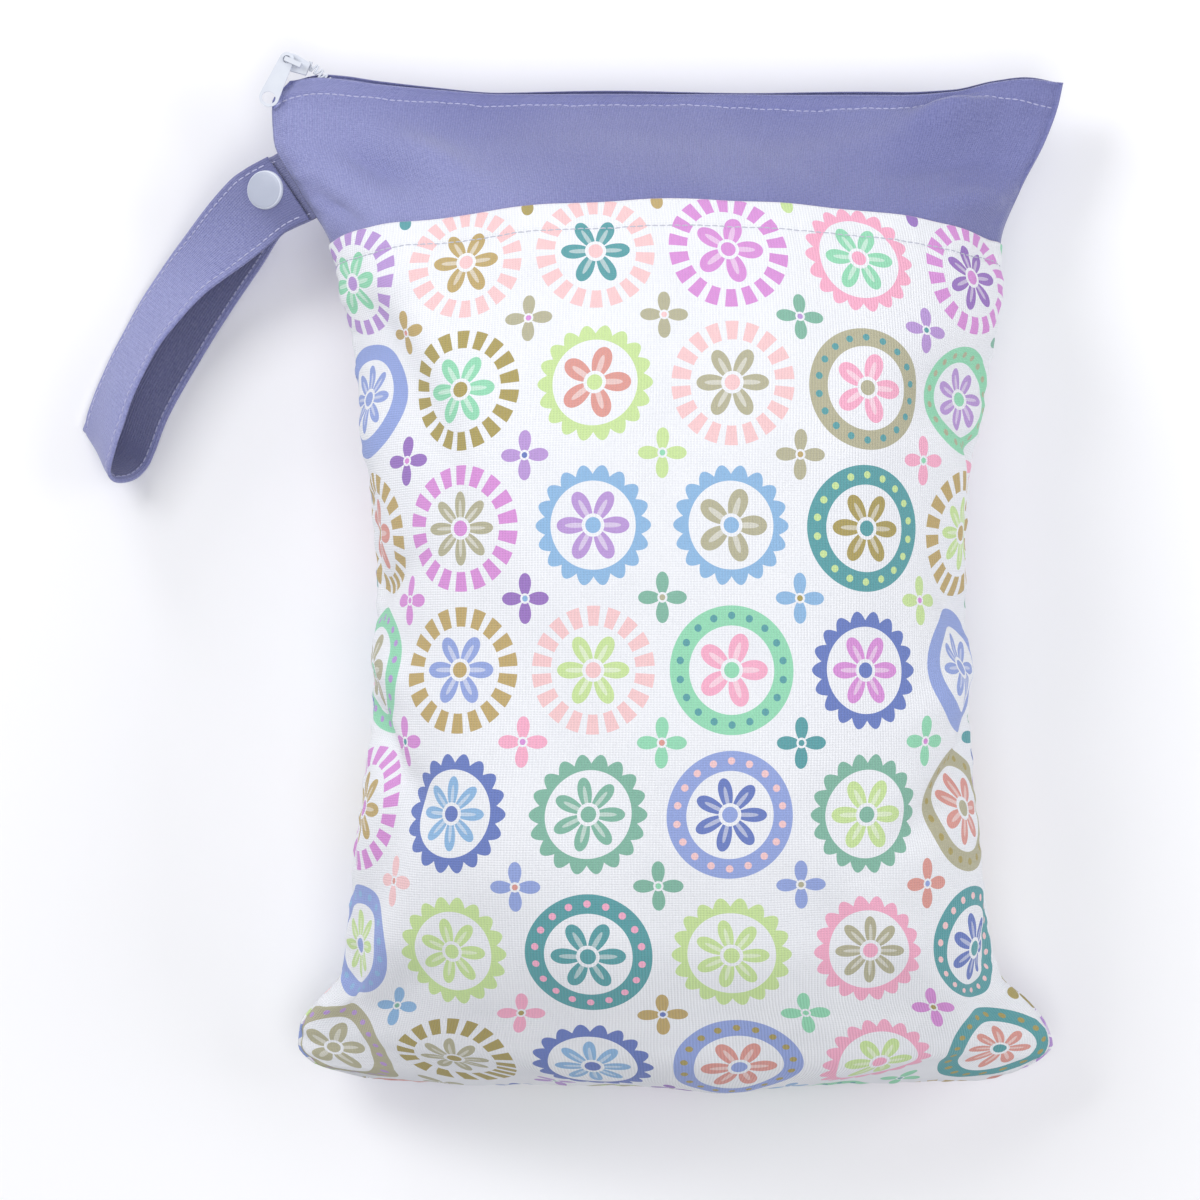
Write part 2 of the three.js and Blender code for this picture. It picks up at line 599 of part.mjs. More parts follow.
// The snap joins the strap's free end to its sewn end. Each half has a cap outside and a ring inside.
const SNAP_SHARE = 0.5;
const free = strapPoint(1 - snap_station / (stations.length - 1), SNAP_SHARE);
const up = new THREE.Vector3(0, 0, 1);
const snap_axis = free.normal.clone().multiplyScalar(Math.sign(free.normal.dot(up)));
const nearest = [...Array(81).keys()]
  .map((i) => strapPoint((i / 80) * 0.25, SNAP_SHARE))
  .map((s) => ({ ...s, off: s.point.clone().sub(free.point).cross(snap_axis).length() }))
  .reduce((a, b) => (b.off < a.off ? b : a));
const lower_point = nearest.point;
addMesh("strap", strap([{ point: free.point, axis: snap_axis }, { point: lower_point, axis: snap_axis }]), lilac);

// A domed cap standing on the strap's face, with its post down through the cloth.
function snapCap() {
  const radius = snap_diameter / 2;
  const profile = [
    [0, -strap_cloth],
    [snap_post_radius, -strap_cloth],
    [snap_post_radius, clearance],
    [radius - 0.4, clearance],
    [radius, clearance + 0.35],
    [radius, clearance + 0.75],
    [radius - 0.5, snap_cap_height + clearance - 0.2],
    [radius - 1.6, snap_cap_height + clearance],
    [0, snap_cap_height + clearance],
  ].map(([r, z]) => new THREE.Vector2(r, z));
  return new THREE.LatheGeometry(profile, 32).rotateX(Math.PI / 2);
}

function snapBody(height) {
  return moved(rod(snap_body_diameter / 2, height, 24), 0, 0, clearance);
}

const away = (point, side) => point.clone().addScaledVector(snap_axis, (side * strap_cloth) / 2);
addMesh("snap_cap", snapCap().applyMatrix4(standing(away(free.point, 1), snap_axis)), plastic);
const between = free.point.clone().sub(lower_point).dot(snap_axis) - strap_cloth;
const body_height = (between - 3 * clearance) / 2;
const down_axis = snap_axis.clone().negate();
addMesh("snap_socket", snapBody(body_height).applyMatrix4(standing(away(free.point, -1), down_axis)), plastic);
addMesh("snap_stud", snapBody(body_height).applyMatrix4(standing(away(lower_point, 1), snap_axis)), plastic);
addMesh("snap_back_cap", snapCap().applyMatrix4(standing(away(lower_point, -1), down_axis)), plastic);

export default bag;
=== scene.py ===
"""A stuffed, zipped cloth wet bag on its back: its cloth, print, stitching, strap, zip, snap and light."""

import math

import bpy
import numpy as np
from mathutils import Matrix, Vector


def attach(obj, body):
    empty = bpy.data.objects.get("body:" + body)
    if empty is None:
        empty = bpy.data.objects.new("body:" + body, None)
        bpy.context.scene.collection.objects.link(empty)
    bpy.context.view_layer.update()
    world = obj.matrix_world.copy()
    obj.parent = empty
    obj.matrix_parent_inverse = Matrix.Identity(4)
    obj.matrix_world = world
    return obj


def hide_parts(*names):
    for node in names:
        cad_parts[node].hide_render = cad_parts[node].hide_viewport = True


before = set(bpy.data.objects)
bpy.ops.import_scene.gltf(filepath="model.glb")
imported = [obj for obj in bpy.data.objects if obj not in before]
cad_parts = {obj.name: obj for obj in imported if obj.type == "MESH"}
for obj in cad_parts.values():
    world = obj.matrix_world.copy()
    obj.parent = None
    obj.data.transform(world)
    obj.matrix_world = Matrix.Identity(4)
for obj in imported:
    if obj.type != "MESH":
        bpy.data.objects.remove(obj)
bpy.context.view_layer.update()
MM = 0.001

# Sizes in millimetres, as in the part's source
BAG_WIDTH = 300.0
BAG_LENGTH = 370.0
BAG_DEPTH = 130.0
BOTTOM_Y = -189.0
BOTTOM_ROUND = 56.0
CLOTH = 1.2
BAND = 57.0
HEM = 12.5
FLAT_WIDTH = 305.0
ZIP_HEIGHT = 32.5
ZIP_LEFT, ZIP_RIGHT = -143.25, 148.5

# Sections across the bag: place along it, its left and right edges as shares of half the width, the front's
# swelling and the seam's height as shares of the depth, how square its shoulders are, and how far its middle
# bows up the bag.
SECTIONS = [
    (0.0, 0.76, 0.82, 0.5, 0.25, 1.4, -0.003),
    (0.015, 0.9, 0.925, 0.5, 0.24, 1.4, -0.003),
    (0.032, 0.935, 0.965, 0.505, 0.235, 1.4, -0.003),
    (0.052, 0.93, 0.95, 0.51, 0.24, 1.3, -0.003),
    (0.078, 0.885, 0.9, 0.515, 0.275, 1.05, -0.003),
    (0.105, 0.825, 0.828, 0.52, 0.325, 0.75, -0.003),
    (0.16, 0.8, 0.79, 0.53, 0.39, 0.57, -0.002),
    (0.25, 0.774, 0.756, 0.54, 0.44, 0.5, -0.001),
    (0.36, 0.735, 0.735, 0.545, 0.455, 0.5, 0.0),
    (0.47, 0.722, 0.722, 0.545, 0.455, 0.5, 0.004),
    (0.59, 0.738, 0.736, 0.53, 0.45, 0.5, 0.009),
    (0.7, 0.77, 0.78, 0.485, 0.43, 0.55, 0.016),
    (0.79, 0.81, 0.815, 0.4, 0.39, 0.65, 0.024),
    (0.85, 0.852, 0.828, 0.315, 0.345, 0.8, 0.028),
    (0.9, 0.93, 0.88, 0.225, 0.295, 0.95, 0.022),
    (0.945, 0.995, 0.945, 0.13, 0.262, 1.15, 0.01),
    (0.978, 1.0, 0.978, 0.05, 0.25, 1.25, 0.002),
    (1.0, 0.955, 0.99, 0.0, 0.25, 1.25, 0.0),
]

# The zip edge's rise, as a share of the length, at places across from -1 to 1.
ZIP_EDGE = [
    (-1.0, 0.0146),
    (-0.93, 0.018),
    (-0.86, 0.016),
    (-0.77, 0.011),
    (-0.63, 0.006),
    (-0.45, 0.001),
    (0.0, 0.001),
    (0.57, 0.0),
    (0.72, 0.004),
    (0.82, 0.013),
    (0.9, 0.0165),
    (1.0, 0.0125),
]

# Distance of the topstitching from the zip edge, at places across from 0 to 1.
TOPSTITCH = [
    (0.0, 12.5),
    (0.03, 9.5),
    (0.07, 7.4),
    (0.2, 6.6),
    (0.45, 7.6),
    (0.7, 8.6),
    (0.86, 8.2),
    (0.93, 10.4),
    (1.0, 11.6),
]

# Folds and dents of the front: middle across (-1 to 1) and along (0 to 1) the flat cloth, direction in
# degrees from +X, and length, width and height in millimetres.
FOLDS = [
    ("band dimple left", -0.76, 0.91, -48, 19, 8, -5.2),
    ("band ridge left", -0.6, 0.908, -48, 22, 9, 4.8),
    ("band valley left", -0.9, 0.872, -50, 14, 6, -3.2),
    ("band ridge right", 0.7, 0.955, 22, 32, 8, 2.4),
    ("band valley right", 0.76, 0.91, 20, 26, 8, -3.2),
    ("band ridge low right", 0.87, 0.874, 24, 24, 6, 4.4),
    ("left waist crease", -0.8, 0.37, -36, 30, 8, -6.2),
    ("left waist pad", -0.82, 0.44, -24, 24, 9, 4.6),
    ("left arm crease", -0.84, 0.51, 18, 24, 8, -4.4),
    ("right waist crease", 0.77, 0.345, 34, 34, 8, -6.0),
    ("right waist pad", 0.8, 0.42, 22, 28, 10, 4.6),
    ("right arm crease", 0.84, 0.49, -22, 24, 9, -4.2),
    ("right shoulder crease", 0.88, 0.63, -35, 24, 8, -4.0),
    ("right foot crease", 0.84, 0.15, 64, 32, 10, -3.8),
    ("left foot crease", -0.86, 0.14, -66, 28, 10, -3.6),
]

# Soft, uneven waves over both walls: how fast they turn across and along, and their start.
WAVES = [
    (3.1, 4.7, 0.4), (-5.3, 2.9, 1.7), (7.9, 6.1, 2.9),
    (-4.3, -9.7, 4.1), (12.1, -7.3, 0.9), (9.3, 13.7, 5.2),
]
WAVE_HEIGHT = 0.28

# Half the gap between the two walls: along the open edge at the zip, and where the strap's end is sewn in.
LIPS, STRAP_ROOM = 0.95, 1.4
STRAP_ROOM_FROM, STRAP_ROOM_TO = 0.853, 0.985

# The front wall's roll over its topstitching: its place and width across the cloth, its distance from the zip
# and its reach, and how far it moves the wall up the bag and outwards.
ROLL_AT, ROLL_WIDTH = 0.862, 0.045
ROLL_FROM_ZIP, ROLL_REACH = 15.5, 5.5
ROLL_UP, ROLL_OUT = 5.2, 3.4


# Curves and grids
def curve(table, column=1):
    """A smooth curve through a table's rows that never overshoots them."""
    xs = np.array([row[0] for row in table], float)
    ys = np.array([row[column] for row in table], float)
    slopes = np.diff(ys) / np.diff(xs)
    both = slopes[:-1] * slopes[1:]
    total = slopes[:-1] + slopes[1:]
    inner = np.where(both > 0, 2 * both / np.where(total == 0, 1, total), 0)
    tangents = np.concatenate([[slopes[0]], inner, [slopes[-1]]])

    def at(x):
        x = np.clip(np.asarray(x, float), xs[0], xs[-1])
        i = np.clip(np.searchsorted(xs, x, side="right") - 1, 0, len(xs) - 2)
        step = xs[i + 1] - xs[i]
        f = (x - xs[i]) / step
        rise = ys[i + 1] - ys[i]
        a, b = tangents[i] * step, tangents[i + 1] * step
        return ys[i] + a * f + (3 * rise - 2 * a - b) * f**2 + (a + b - 2 * rise) * f**3

    return at


def smooth(a):
    a = np.clip(a, 0, 1)
    return a * a * (3 - 2 * a)


def line_length(points):
    """How far along a line each of its points lies."""
    return np.concatenate([[0], np.cumsum(np.linalg.norm(np.diff(points, axis=0), axis=1))])


def at_length(values, length, at):
    """A line's values at places given as lengths along it."""
    return np.stack([np.interp(at, length, values[:, k]) for k in range(3)], 1)


def by_length(points, count):
    """Evenly spaced points on a line."""
    length = line_length(points)
    return at_length(points, length, np.linspace(0, length[-1], count))


def spline_weights(at, count):
    """Catmull-Rom weights of count evenly spaced points, for places from 0 to 1."""
    at = np.atleast_1d(np.clip(at, 0, 1)) * (count - 1)
    i = np.clip(np.floor(at).astype(int), 0, count - 2)
    f = at - i
    basis = [
        -0.5 * f + f**2 - 0.5 * f**3,
        1 - 2.5 * f**2 + 1.5 * f**3,
        0.5 * f + 2 * f**2 - 1.5 * f**3,
        -0.5 * f**2 + 0.5 * f**3,
    ]
    weights = np.zeros((len(at), count))
    rows = np.arange(len(at))
    for k, b in enumerate(basis):
        j = i + k - 1
        low, high = j < 0, j > count - 1
        inside = ~(low | high)
        np.add.at(weights, (rows[inside], j[inside]), b[inside])
        # Past the ends the points go on straight.
        np.add.at(weights, (rows[low], 0), 2 * b[low])
        np.add.at(weights, (rows[low], 1), -b[low])
        np.add.at(weights, (rows[high], count - 1), 2 * b[high])
        np.add.at(weights, (rows[high], count - 2), -b[high])
    return weights


def on_grid(grid, us, vs):
    """A grid of points at every pair of places us by vs."""
    wu, wv = spline_weights(us, grid.shape[0]), spline_weights(vs, grid.shape[1])
    return np.einsum("ia,abk,jb->ijk", wu, grid, wv, optimize=True)


def normals(points):
    du, dv = np.gradient(points, axis=0), np.gradient(points, axis=1)
    n = np.cross(du, dv)
    return n / np.maximum(np.linalg.norm(n, axis=2, keepdims=True), 1e-9)


# The bag's form
SECTION = [curve(SECTIONS, column) for column in range(1, 7)]


def face(side, across, along):
    """Points of the front (side 1) or back (side -1), at places across from -1 to 1 and along from 0 to 1."""
    left, right, front, seam, flare, bow = [value(along) for value in SECTION]
    left, right = -left * BAG_WIDTH / 2, right * BAG_WIDTH / 2
    x = (left + right) / 2 + across * (right - left) / 2
    middle = 1 - across**2
    rise = curve(ZIP_EDGE)(across) * smooth((along - 0.86) / 0.14) + bow * middle
    y = BOTTOM_Y + BAG_LENGTH * (along + rise)
    rounded = np.sqrt(1 - (1 - np.clip(along * BAG_LENGTH / BOTTOM_ROUND, 0, 1)) ** 2)
    base = BAG_DEPTH * (seam + 0.12 * middle * (1 - smooth(along / 0.11)))
    lips = LIPS * smooth((along - 0.94) / 0.035) * (0.1 + 0.9 * smooth((1 - np.abs(across)) / 0.08))
    beside_strap = smooth((along - STRAP_ROOM_FROM) / 0.017) * smooth((STRAP_ROOM_TO - along) / 0.025)
    strap_room = beside_strap * smooth((-across - 0.55) / 0.25) * STRAP_ROOM
    gap = np.maximum(lips, strap_room)
    if side > 0:
        swell = np.maximum(0, BAG_DEPTH * front - CLOTH) * (1 - np.abs(across) ** 2.7) ** flare * rounded
        return np.stack([x, y, base + gap + swell], -1)
    sag = (1 - np.abs(across) ** 3.4) ** np.maximum(0.5, flare)
    under = 1.3 * base * sag * rounded * smooth((1.02 - along) / 0.24)
    low = base - gap - under
    low = 0.5 * (low + CLOTH + np.sqrt((low - CLOTH) ** 2 + 36 * sag**2))
    return np.stack([x, y, np.maximum(low - 0.8 * smooth(sag), CLOTH)], -1)


FINE_U, FINE_V = 181, 251
ALONG = np.concatenate([np.linspace(0, 1, 60) ** 2 * 0.16, np.linspace(0.16, 1, 220)[1:]])
middle_line = face(1, np.zeros(ALONG.shape), ALONG)
middle_length = line_length(middle_line)
FLAT_LENGTH = float(middle_length[-1])
HEM_TOP = float(np.interp(1 - BAND / BAG_LENGTH, ALONG, middle_length))


def smooth_form(side):
    """A grid of the front or back, its columns and its middle's rows evenly spaced over the cloth."""
    rows = np.interp(np.linspace(0, FLAT_LENGTH, FINE_V), middle_length, ALONG)
    dense = np.sin(np.linspace(-1, 1, 601) * math.pi / 2)
    grid = np.zeros((FINE_U, FINE_V, 3))
    for j, along in enumerate(rows):
        grid[:, j] = by_length(face(side, dense, np.full(dense.shape, along)), FINE_U)
    return grid


# The simulated cloth: its cells, its frames, the frame that has its seams in place, and how it lies at first.
NU, NV = 52, 70
FRAMES, SEAMS_DRAWN = 26, 14
START_TOP, START_HEIGHT, START_BULGE = 185, 45, 6


def inflate(seam_line):
    """Sews two flat sheets together, draws the seams to their places and blows the bag up between them.

    Returns the grids of the front and the back. seam_line gives each sewn place of the grid."""
    index, keys, faces = {}, [], []

    def vert(side, i, j):
        key = (0 if i in (0, NU) or j in (0, NV) else side, i, j)
        if key not in index:
            index[key] = len(keys)
            keys.append(key)
        return index[key]

    for side in (1, -1):
        for i in range(NU):
            for j in range(NV):
                corners = ((i, j), (i + 1, j), (i + 1, j + 1), (i, j + 1))
                quad = [vert(side, *corner) for corner in corners]
                faces.append(quad if side == 1 else quad[::-1])
    flat = []
    for side, i, j in keys:
        u, v = i / NU, j / NV
        bulge = math.sqrt(max(0, math.sin(math.pi * u) * math.sin(math.pi * v))) * side
        uneven = 1 + 0.25 * math.sin(9.1 * u + 2) * math.sin(6.7 * v + 1)
        height = START_HEIGHT + START_BULGE * bulge * uneven
        flat.append(((u - 0.5) * FLAT_WIDTH, START_TOP - FLAT_LENGTH * (1 - v), height))
    flat = np.array(flat)
    drawn = np.array([seam_line[i, j] if side == 0 else place for (side, i, j), place in zip(keys, flat)])
    mesh = bpy.data.meshes.new("inflating")
    mesh.from_pydata((flat * MM).tolist(), [], faces)
    mesh.update()
    bag = bpy.data.objects.new("inflating", mesh)
    bpy.context.scene.collection.objects.link(bag)
    bag.shape_key_add(name="Basis")
    key = bag.shape_key_add(name="drawn")
    key.data.foreach_set("co", (drawn * MM).ravel())
    for value, at in ((0, 1), (1, SEAMS_DRAWN)):
        key.value = value
        key.keyframe_insert("value", frame=at)
    pin = bag.vertex_groups.new(name="sewn")
    pin.add([n for n, k in enumerate(keys) if k[0] == 0], 1.0, "REPLACE")
    cloth = bag.modifiers.new("cloth", "CLOTH")
    s = cloth.settings
    s.quality = 5
    s.mass = 0.15
    s.tension_stiffness = s.compression_stiffness = 40
    s.shear_stiffness = 10
    s.bending_stiffness = 0.6
    s.tension_damping = s.compression_damping = s.shear_damping = 10
    s.bending_damping = 1
    s.air_damping = 2
    s.use_pressure = True
    s.uniform_pressure_force = 14.0
    s.vertex_group_mass = "sewn"
    s.pin_stiffness = 1.0
    s.effector_weights.gravity = 0
    cloth.collision_settings.use_collision = False
    cloth.point_cache.frame_start, cloth.point_cache.frame_end = 1, FRAMES
    for at in range(1, FRAMES + 1):
        bpy.context.scene.frame_set(at)
    evaluated = bag.evaluated_get(bpy.context.evaluated_depsgraph_get())
    result = np.empty(len(keys) * 3)
    evaluated.to_mesh().vertices.foreach_get("co", result)
    grids = np.zeros((2, NU + 1, NV + 1, 3))
    for (side, i, j), place in zip(keys, result.reshape(-1, 3) / MM):
        if side >= 0:
            grids[0, i, j] = place
        if side <= 0:
            grids[1, i, j] = place
    bpy.data.objects.remove(bag)
    bpy.data.meshes.remove(mesh)
    bpy.context.scene.frame_set(1)
    return grids


def blur(grid, axis, times):
    """Blurs a grid of points along one axis; its first and last points stay."""
    grid = np.moveaxis(grid.copy(), axis, 0)
    for _ in range(times):
        grid[1:-1] = (grid[:-2] + 2 * grid[1:-1] + grid[2:]) / 4
    return np.moveaxis(grid, 0, axis)


MOST_SHIFT = 7


def wrinkles(grid, share):
    """What the simulated cloth adds to a smooth bag: a share of its folds beside the seams, as shifts."""
    u = np.linspace(0, 1, NU + 1)[:, None, None]
    v = np.linspace(0, 1, NV + 1)[None, :, None]
    calm = blur(blur(grid, 0, 2), 1, 2)
    lengthwise = (calm - blur(calm, 1, 40)) * smooth(v / 0.14) * smooth((1 - v) / 0.14)
    crosswise = 0.45 * (calm - blur(calm, 0, 40)) * smooth(u / 0.16) * smooth((1 - u) / 0.16)
    near_ends = 1 - smooth(np.minimum(v, 1 - v) / 0.2)
    shift = lengthwise * (1 - near_ends) + crosswise * near_ends
    size = np.linalg.norm(shift, axis=2, keepdims=True)
    shift = shift * (MOST_SHIFT * np.tanh(size / MOST_SHIFT) / np.maximum(size, 1e-6))
    shift = on_grid(shift, np.linspace(0, 1, FINE_U), np.linspace(0, 1, FINE_V))
    fine_u = np.linspace(0, 1, FINE_U)[:, None, None]
    fine_v = np.linspace(0, 1, FINE_V)[None, :, None]
    edge = smooth(np.minimum(fine_u, 1 - fine_u) / 0.03) * smooth(np.minimum(fine_v, 1 - fine_v) / 0.02)
    return shift * edge * share


def add_folds(grid, side):
    """Raises the named folds and soft, uneven waves out of a grid."""
    n = normals(grid) * side
    places = np.linspace(-1, 1, grid.shape[0]), np.linspace(0, 1, grid.shape[1])
    across, along = np.meshgrid(*places, indexing="ij")
    height = np.zeros(across.shape)
    edge = smooth((1 - np.abs(across)) / 0.07) * smooth(along / 0.03) * smooth((1 - along) / 0.03)
    if side < 0:
        edge = edge * smooth((grid[..., 2] - 3) / 12)
    if side > 0:
        for _, at_across, at_along, turn, length, width, rise in FOLDS:
            dx, dy = (across - at_across) * FLAT_WIDTH / 2, (along - at_along) * FLAT_LENGTH
            c, s = math.cos(math.radians(turn)), math.sin(math.radians(turn))
            height += rise * np.exp(-(((dx * c + dy * s) / length) ** 2) - ((dy * c - dx * s) / width) ** 2)
    for kx, ky, phase in WAVES:
        height += WAVE_HEIGHT * np.sin(kx * across * 1.6 + ky * along * 1.9 + phase)
    return grid + n * (height * edge)[..., None]


def shape_open_edge(front, back):
    """Rolls the front wall over its topstitching and raises the back's edge a little above the front's."""
    u, v = np.linspace(0, 1, FINE_U)[:, None], np.linspace(0, 1, FINE_V)[None, :]
    from_zip = (1 - v) * FLAT_LENGTH
    roll_across = np.exp(-(((u - ROLL_AT) / ROLL_WIDTH) ** 2))
    roll = roll_across * np.exp(-(((from_zip - ROLL_FROM_ZIP) / ROLL_REACH) ** 2))
    front[..., 1] += ROLL_UP * roll
    front[..., 2] += ROLL_OUT * roll
    rise = (1.2 + 0.4 * np.sin(u * 19)) * smooth(1 - from_zip / 12)
    back[..., 1] += rise * smooth(np.minimum(u, 1 - u) / 0.05)
    back[..., 2] = np.maximum(back[..., 2], CLOTH)


front_form, back_form = smooth_form(1), smooth_form(-1)
seam_line = on_grid((front_form + back_form) / 2, np.linspace(0, 1, NU + 1), np.linspace(0, 1, NV + 1))
inflated = inflate(seam_line)
front_form = front_form + wrinkles(inflated[0], 1.0)
back_form = back_form + wrinkles(inflated[1], smooth((back_form[..., 2:] - 3) / 12))
front_form, back_form = add_folds(front_form, 1), add_folds(back_form, -1)
shape_open_edge(front_form, back_form)


# Node materials
class Graph:
    """Short-hand for the nodes of one material."""

    def __init__(self, name):
        self.mat = bpy.data.materials.new(name)
        self.mat.use_nodes = True
        self.tree = self.mat.node_tree
        self.shader = self.tree.nodes["Principled BSDF"]
        self.out = self.tree.nodes["Material Output"]

    def node(self, kind, **settings):
        n = self.tree.nodes.new(kind)
        for key, value in settings.items():
            setattr(n, key, value)
        return n

    def plug(self, value, socket):
        if isinstance(value, bpy.types.NodeSocket):
            self.tree.links.new(value, socket)
        else:
            socket.default_value = value

    def math(self, operation, *values):
        n = self.node("ShaderNodeMath", operation=operation)
        for value, socket in zip(values, n.inputs):
            self.plug(value, socket)
        return n.outputs[0]

    def mix(self, factor, a, b):
        n = self.node("ShaderNodeMix", data_type="RGBA")
        self.plug(factor, n.inputs[0])
        self.plug(a, n.inputs[6])
        self.plug(b, n.inputs[7])
        return n.outputs[2]

    def ease(self, value, low, high):
        """A value that goes softly from 0 at low to 1 at high."""
        n = self.node("ShaderNodeMapRange", interpolation_type="SMOOTHSTEP")
        self.plug(value, n.inputs["Value"])
        n.inputs["From Min"].default_value, n.inputs["From Max"].default_value = low, high
        return n.outputs["Result"]

    def noise(self, vector, scale, detail=2.0, roughness=0.5):
        n = self.node("ShaderNodeTexNoise")
        self.plug(vector, n.inputs["Vector"])
        n.inputs["Scale"].default_value = scale
        n.inputs["Detail"].default_value = detail
        n.inputs["Roughness"].default_value = roughness
        return n.outputs["Fac"]

    def bump(self, height, strength, distance, below=None):
        n = self.node("ShaderNodeBump")
        n.inputs["Strength"].default_value = strength
        n.inputs["Distance"].default_value = distance
        self.plug(height, n.inputs["Height"])
        if below is not None:
            self.plug(below, n.inputs["Normal"])
        return n.outputs["Normal"]

    def finish(self, color, roughness, normal=None, **sockets):
        self.plug(color, self.shader.inputs["Base Color"])
        self.plug(roughness, self.shader.inputs["Roughness"])
        if normal is not None:
            self.plug(normal, self.shader.inputs["Normal"])
        for key, value in sockets.items():
            self.shader.inputs[key.replace("_", " ")].default_value = value
        return self.mat


def rgb(r, g, b):
    """A colour given as display values from 0 to 255, as the shader's linear values."""
    def linear(c):
        c /= 255
        return c / 12.92 if c <= 0.04045 else ((c + 0.055) / 1.055) ** 2.4

    return (linear(r), linear(g), linear(b), 1.0)


UV_SIZE = 500.0
FLAT_START = 25.0


def flat_place(g):
    """The place on the flat cloth in millimetres, as two sockets, and the same as a vector."""
    uv = g.node("ShaderNodeUVMap").outputs[0]
    parts = g.node("ShaderNodeSeparateXYZ")
    g.plug(uv, parts.inputs[0])
    x = g.math("MULTIPLY", parts.outputs[0], UV_SIZE)
    y = g.math("MULTIPLY", parts.outputs[1], UV_SIZE)
    vector = g.node("ShaderNodeCombineXYZ")
    g.plug(x, vector.inputs[0])
    g.plug(y, vector.inputs[1])
    return x, y, vector.outputs[0]


def knit(g, x, y, rib, row):
    """Fine knit: the height of its ribs and loops, from -1 to 1."""
    ribs = g.math("SINE", g.math("MULTIPLY", x, 2 * math.pi / rib))
    half = g.math("MULTIPLY", g.math("SIGN", ribs), 0.5)
    loops = g.math("SINE", g.math("MULTIPLY", g.math("ADD", g.math("DIVIDE", y, row), half), 2 * math.pi))
    return g.math("ADD", g.math("MULTIPLY", ribs, 0.65), g.math("MULTIPLY", loops, 0.35))


# In millimetres of flat cloth: the colour darkens past a slanted line, painted light before it and painted
# shade after it, and painted shade darkens it again at the strap's sewn end.
SHADE_SLANT, SHADE_SHIFT, SHADE_WANDER = 1.1, -451.0, 60.0
PAINTED_LIGHT_TO, PAINTED_SHADE_FROM = 150.0, 235.0
STRAP_MAP_TO = 60.0
STRAP_SHADE_FROM, STRAP_SHADE_TO = 186.0, 240.0


def plain_cloth(name, painted_shade_scale=1.0):
    """Lavender knit with a satin grain; its colour is lighter towards the flat cloth's lower left as painted
    light, and darker past it as painted shade.
    """
    g = Graph(name)

    def shade_scaled_rgb(*values):
        return rgb(*[value * painted_shade_scale for value in values])

    x, y, place = flat_place(g)
    loops = knit(g, x, y, 0.95, 0.8)
    cloudy = g.noise(place, 0.035, 3.0)
    speckle = g.noise(place, 1.05, 3.0, 0.75)
    grain = g.noise(place, 2.2, 3.0, 0.7)
    tone = g.math("ADD", g.math("MULTIPLY", cloudy, 0.4), g.math("MULTIPLY_ADD", speckle, 1.9, -0.65))
    # Painted light and shade: lighter towards the lower left, darker past the slanted line.
    slanted = g.math("MULTIPLY_ADD", y, SHADE_SLANT, SHADE_SHIFT)
    shift = g.math("ADD", slanted, g.math("MULTIPLY_ADD", cloudy, SHADE_WANDER, -SHADE_WANDER / 2))
    painted_shade_share = g.ease(g.math("ADD", x, shift), PAINTED_LIGHT_TO, PAINTED_SHADE_FROM)
    painted_light_color = g.mix(tone, shade_scaled_rgb(122, 126, 183), shade_scaled_rgb(166, 170, 218))
    painted_shade_color = g.mix(tone, shade_scaled_rgb(98, 102, 161), shade_scaled_rgb(140, 144, 198))
    base = g.mix(painted_shade_share, painted_light_color, painted_shade_color)
    color = g.mix(g.math("MULTIPLY_ADD", loops, 0.12, 0.12), base, shade_scaled_rgb(92, 95, 150))
    # Painted shade: the strap is darker near its sewn end.
    on_strap = g.math("LESS_THAN", x, STRAP_MAP_TO)
    root_painted_shade = g.math("MULTIPLY", g.ease(y, STRAP_SHADE_FROM, STRAP_SHADE_TO), on_strap)
    color = g.mix(g.math("MULTIPLY", root_painted_shade, 0.62), color, shade_scaled_rgb(70, 74, 124))
    normal = g.bump(loops, 0.4, 0.0004, g.bump(grain, 0.55, 0.0005))
    rough = g.math("MULTIPLY_ADD", speckle, 0.2, 0.34)
    return g.finish(color, rough, normal, Sheen_Weight=0.25, Sheen_Roughness=0.4, Specular_IOR_Level=0.55)


PALETTE = [
    (196, 171, 112), (176, 160, 92), (92, 163, 168), (152, 222, 184), (133, 187, 165), (206, 232, 160),
    (190, 155, 218), (158, 120, 196), (152, 170, 226), (146, 188, 228), (250, 178, 205), (250, 206, 208),
    (222, 150, 220), (226, 158, 148), (186, 182, 152), (108, 128, 196),
]


def palette(g, pick, order):
    """A colour of the palette for a random number, the palette being dealt in its own order for each use."""
    n = g.node("ShaderNodeValToRGB")
    ramp = n.color_ramp
    ramp.interpolation = "CONSTANT"
    count = len(PALETTE)
    for k in range(count):
        stop = ramp.elements[k] if k < 2 else ramp.elements.new(k / count)
        stop.position = k / count
        stop.color = rgb(*PALETTE[(k * order + order) % count])
    g.plug(pick, n.inputs[0])
    return n.outputs[0]


def cell(g, x, y, pitch, shift):
    """A square lattice: the cell's three random numbers and the place in it as radius and angle."""
    middle, ids = [], []
    for value in (x, y):
        scaled = g.math("ADD", g.math("DIVIDE", value, pitch), shift)
        whole = g.math("FLOOR", scaled)
        ids.append(whole)
        middle.append(g.math("MULTIPLY", g.math("SUBTRACT", g.math("SUBTRACT", scaled, whole), 0.5), pitch))
    key = g.node("ShaderNodeCombineXYZ")
    for value, socket in zip(ids, key.inputs):
        g.plug(value, socket)
    key.inputs[2].default_value = 3.7 + shift
    white = g.node("ShaderNodeTexWhiteNoise")
    g.plug(key.outputs[0], white.inputs[0])
    parts = g.node("ShaderNodeSeparateXYZ")
    g.plug(white.outputs["Color"], parts.inputs[0])
    squares = [g.math("MULTIPLY", m, m) for m in middle]
    radius = g.math("SQRT", g.math("ADD", *squares))
    angle = g.math("ARCTAN2", middle[1], middle[0])
    return list(parts.outputs), white.outputs["Value"], radius, angle


def between(g, value, low, high):
    return g.math("MULTIPLY", g.math("GREATER_THAN", value, low), g.math("LESS_THAN", value, high))


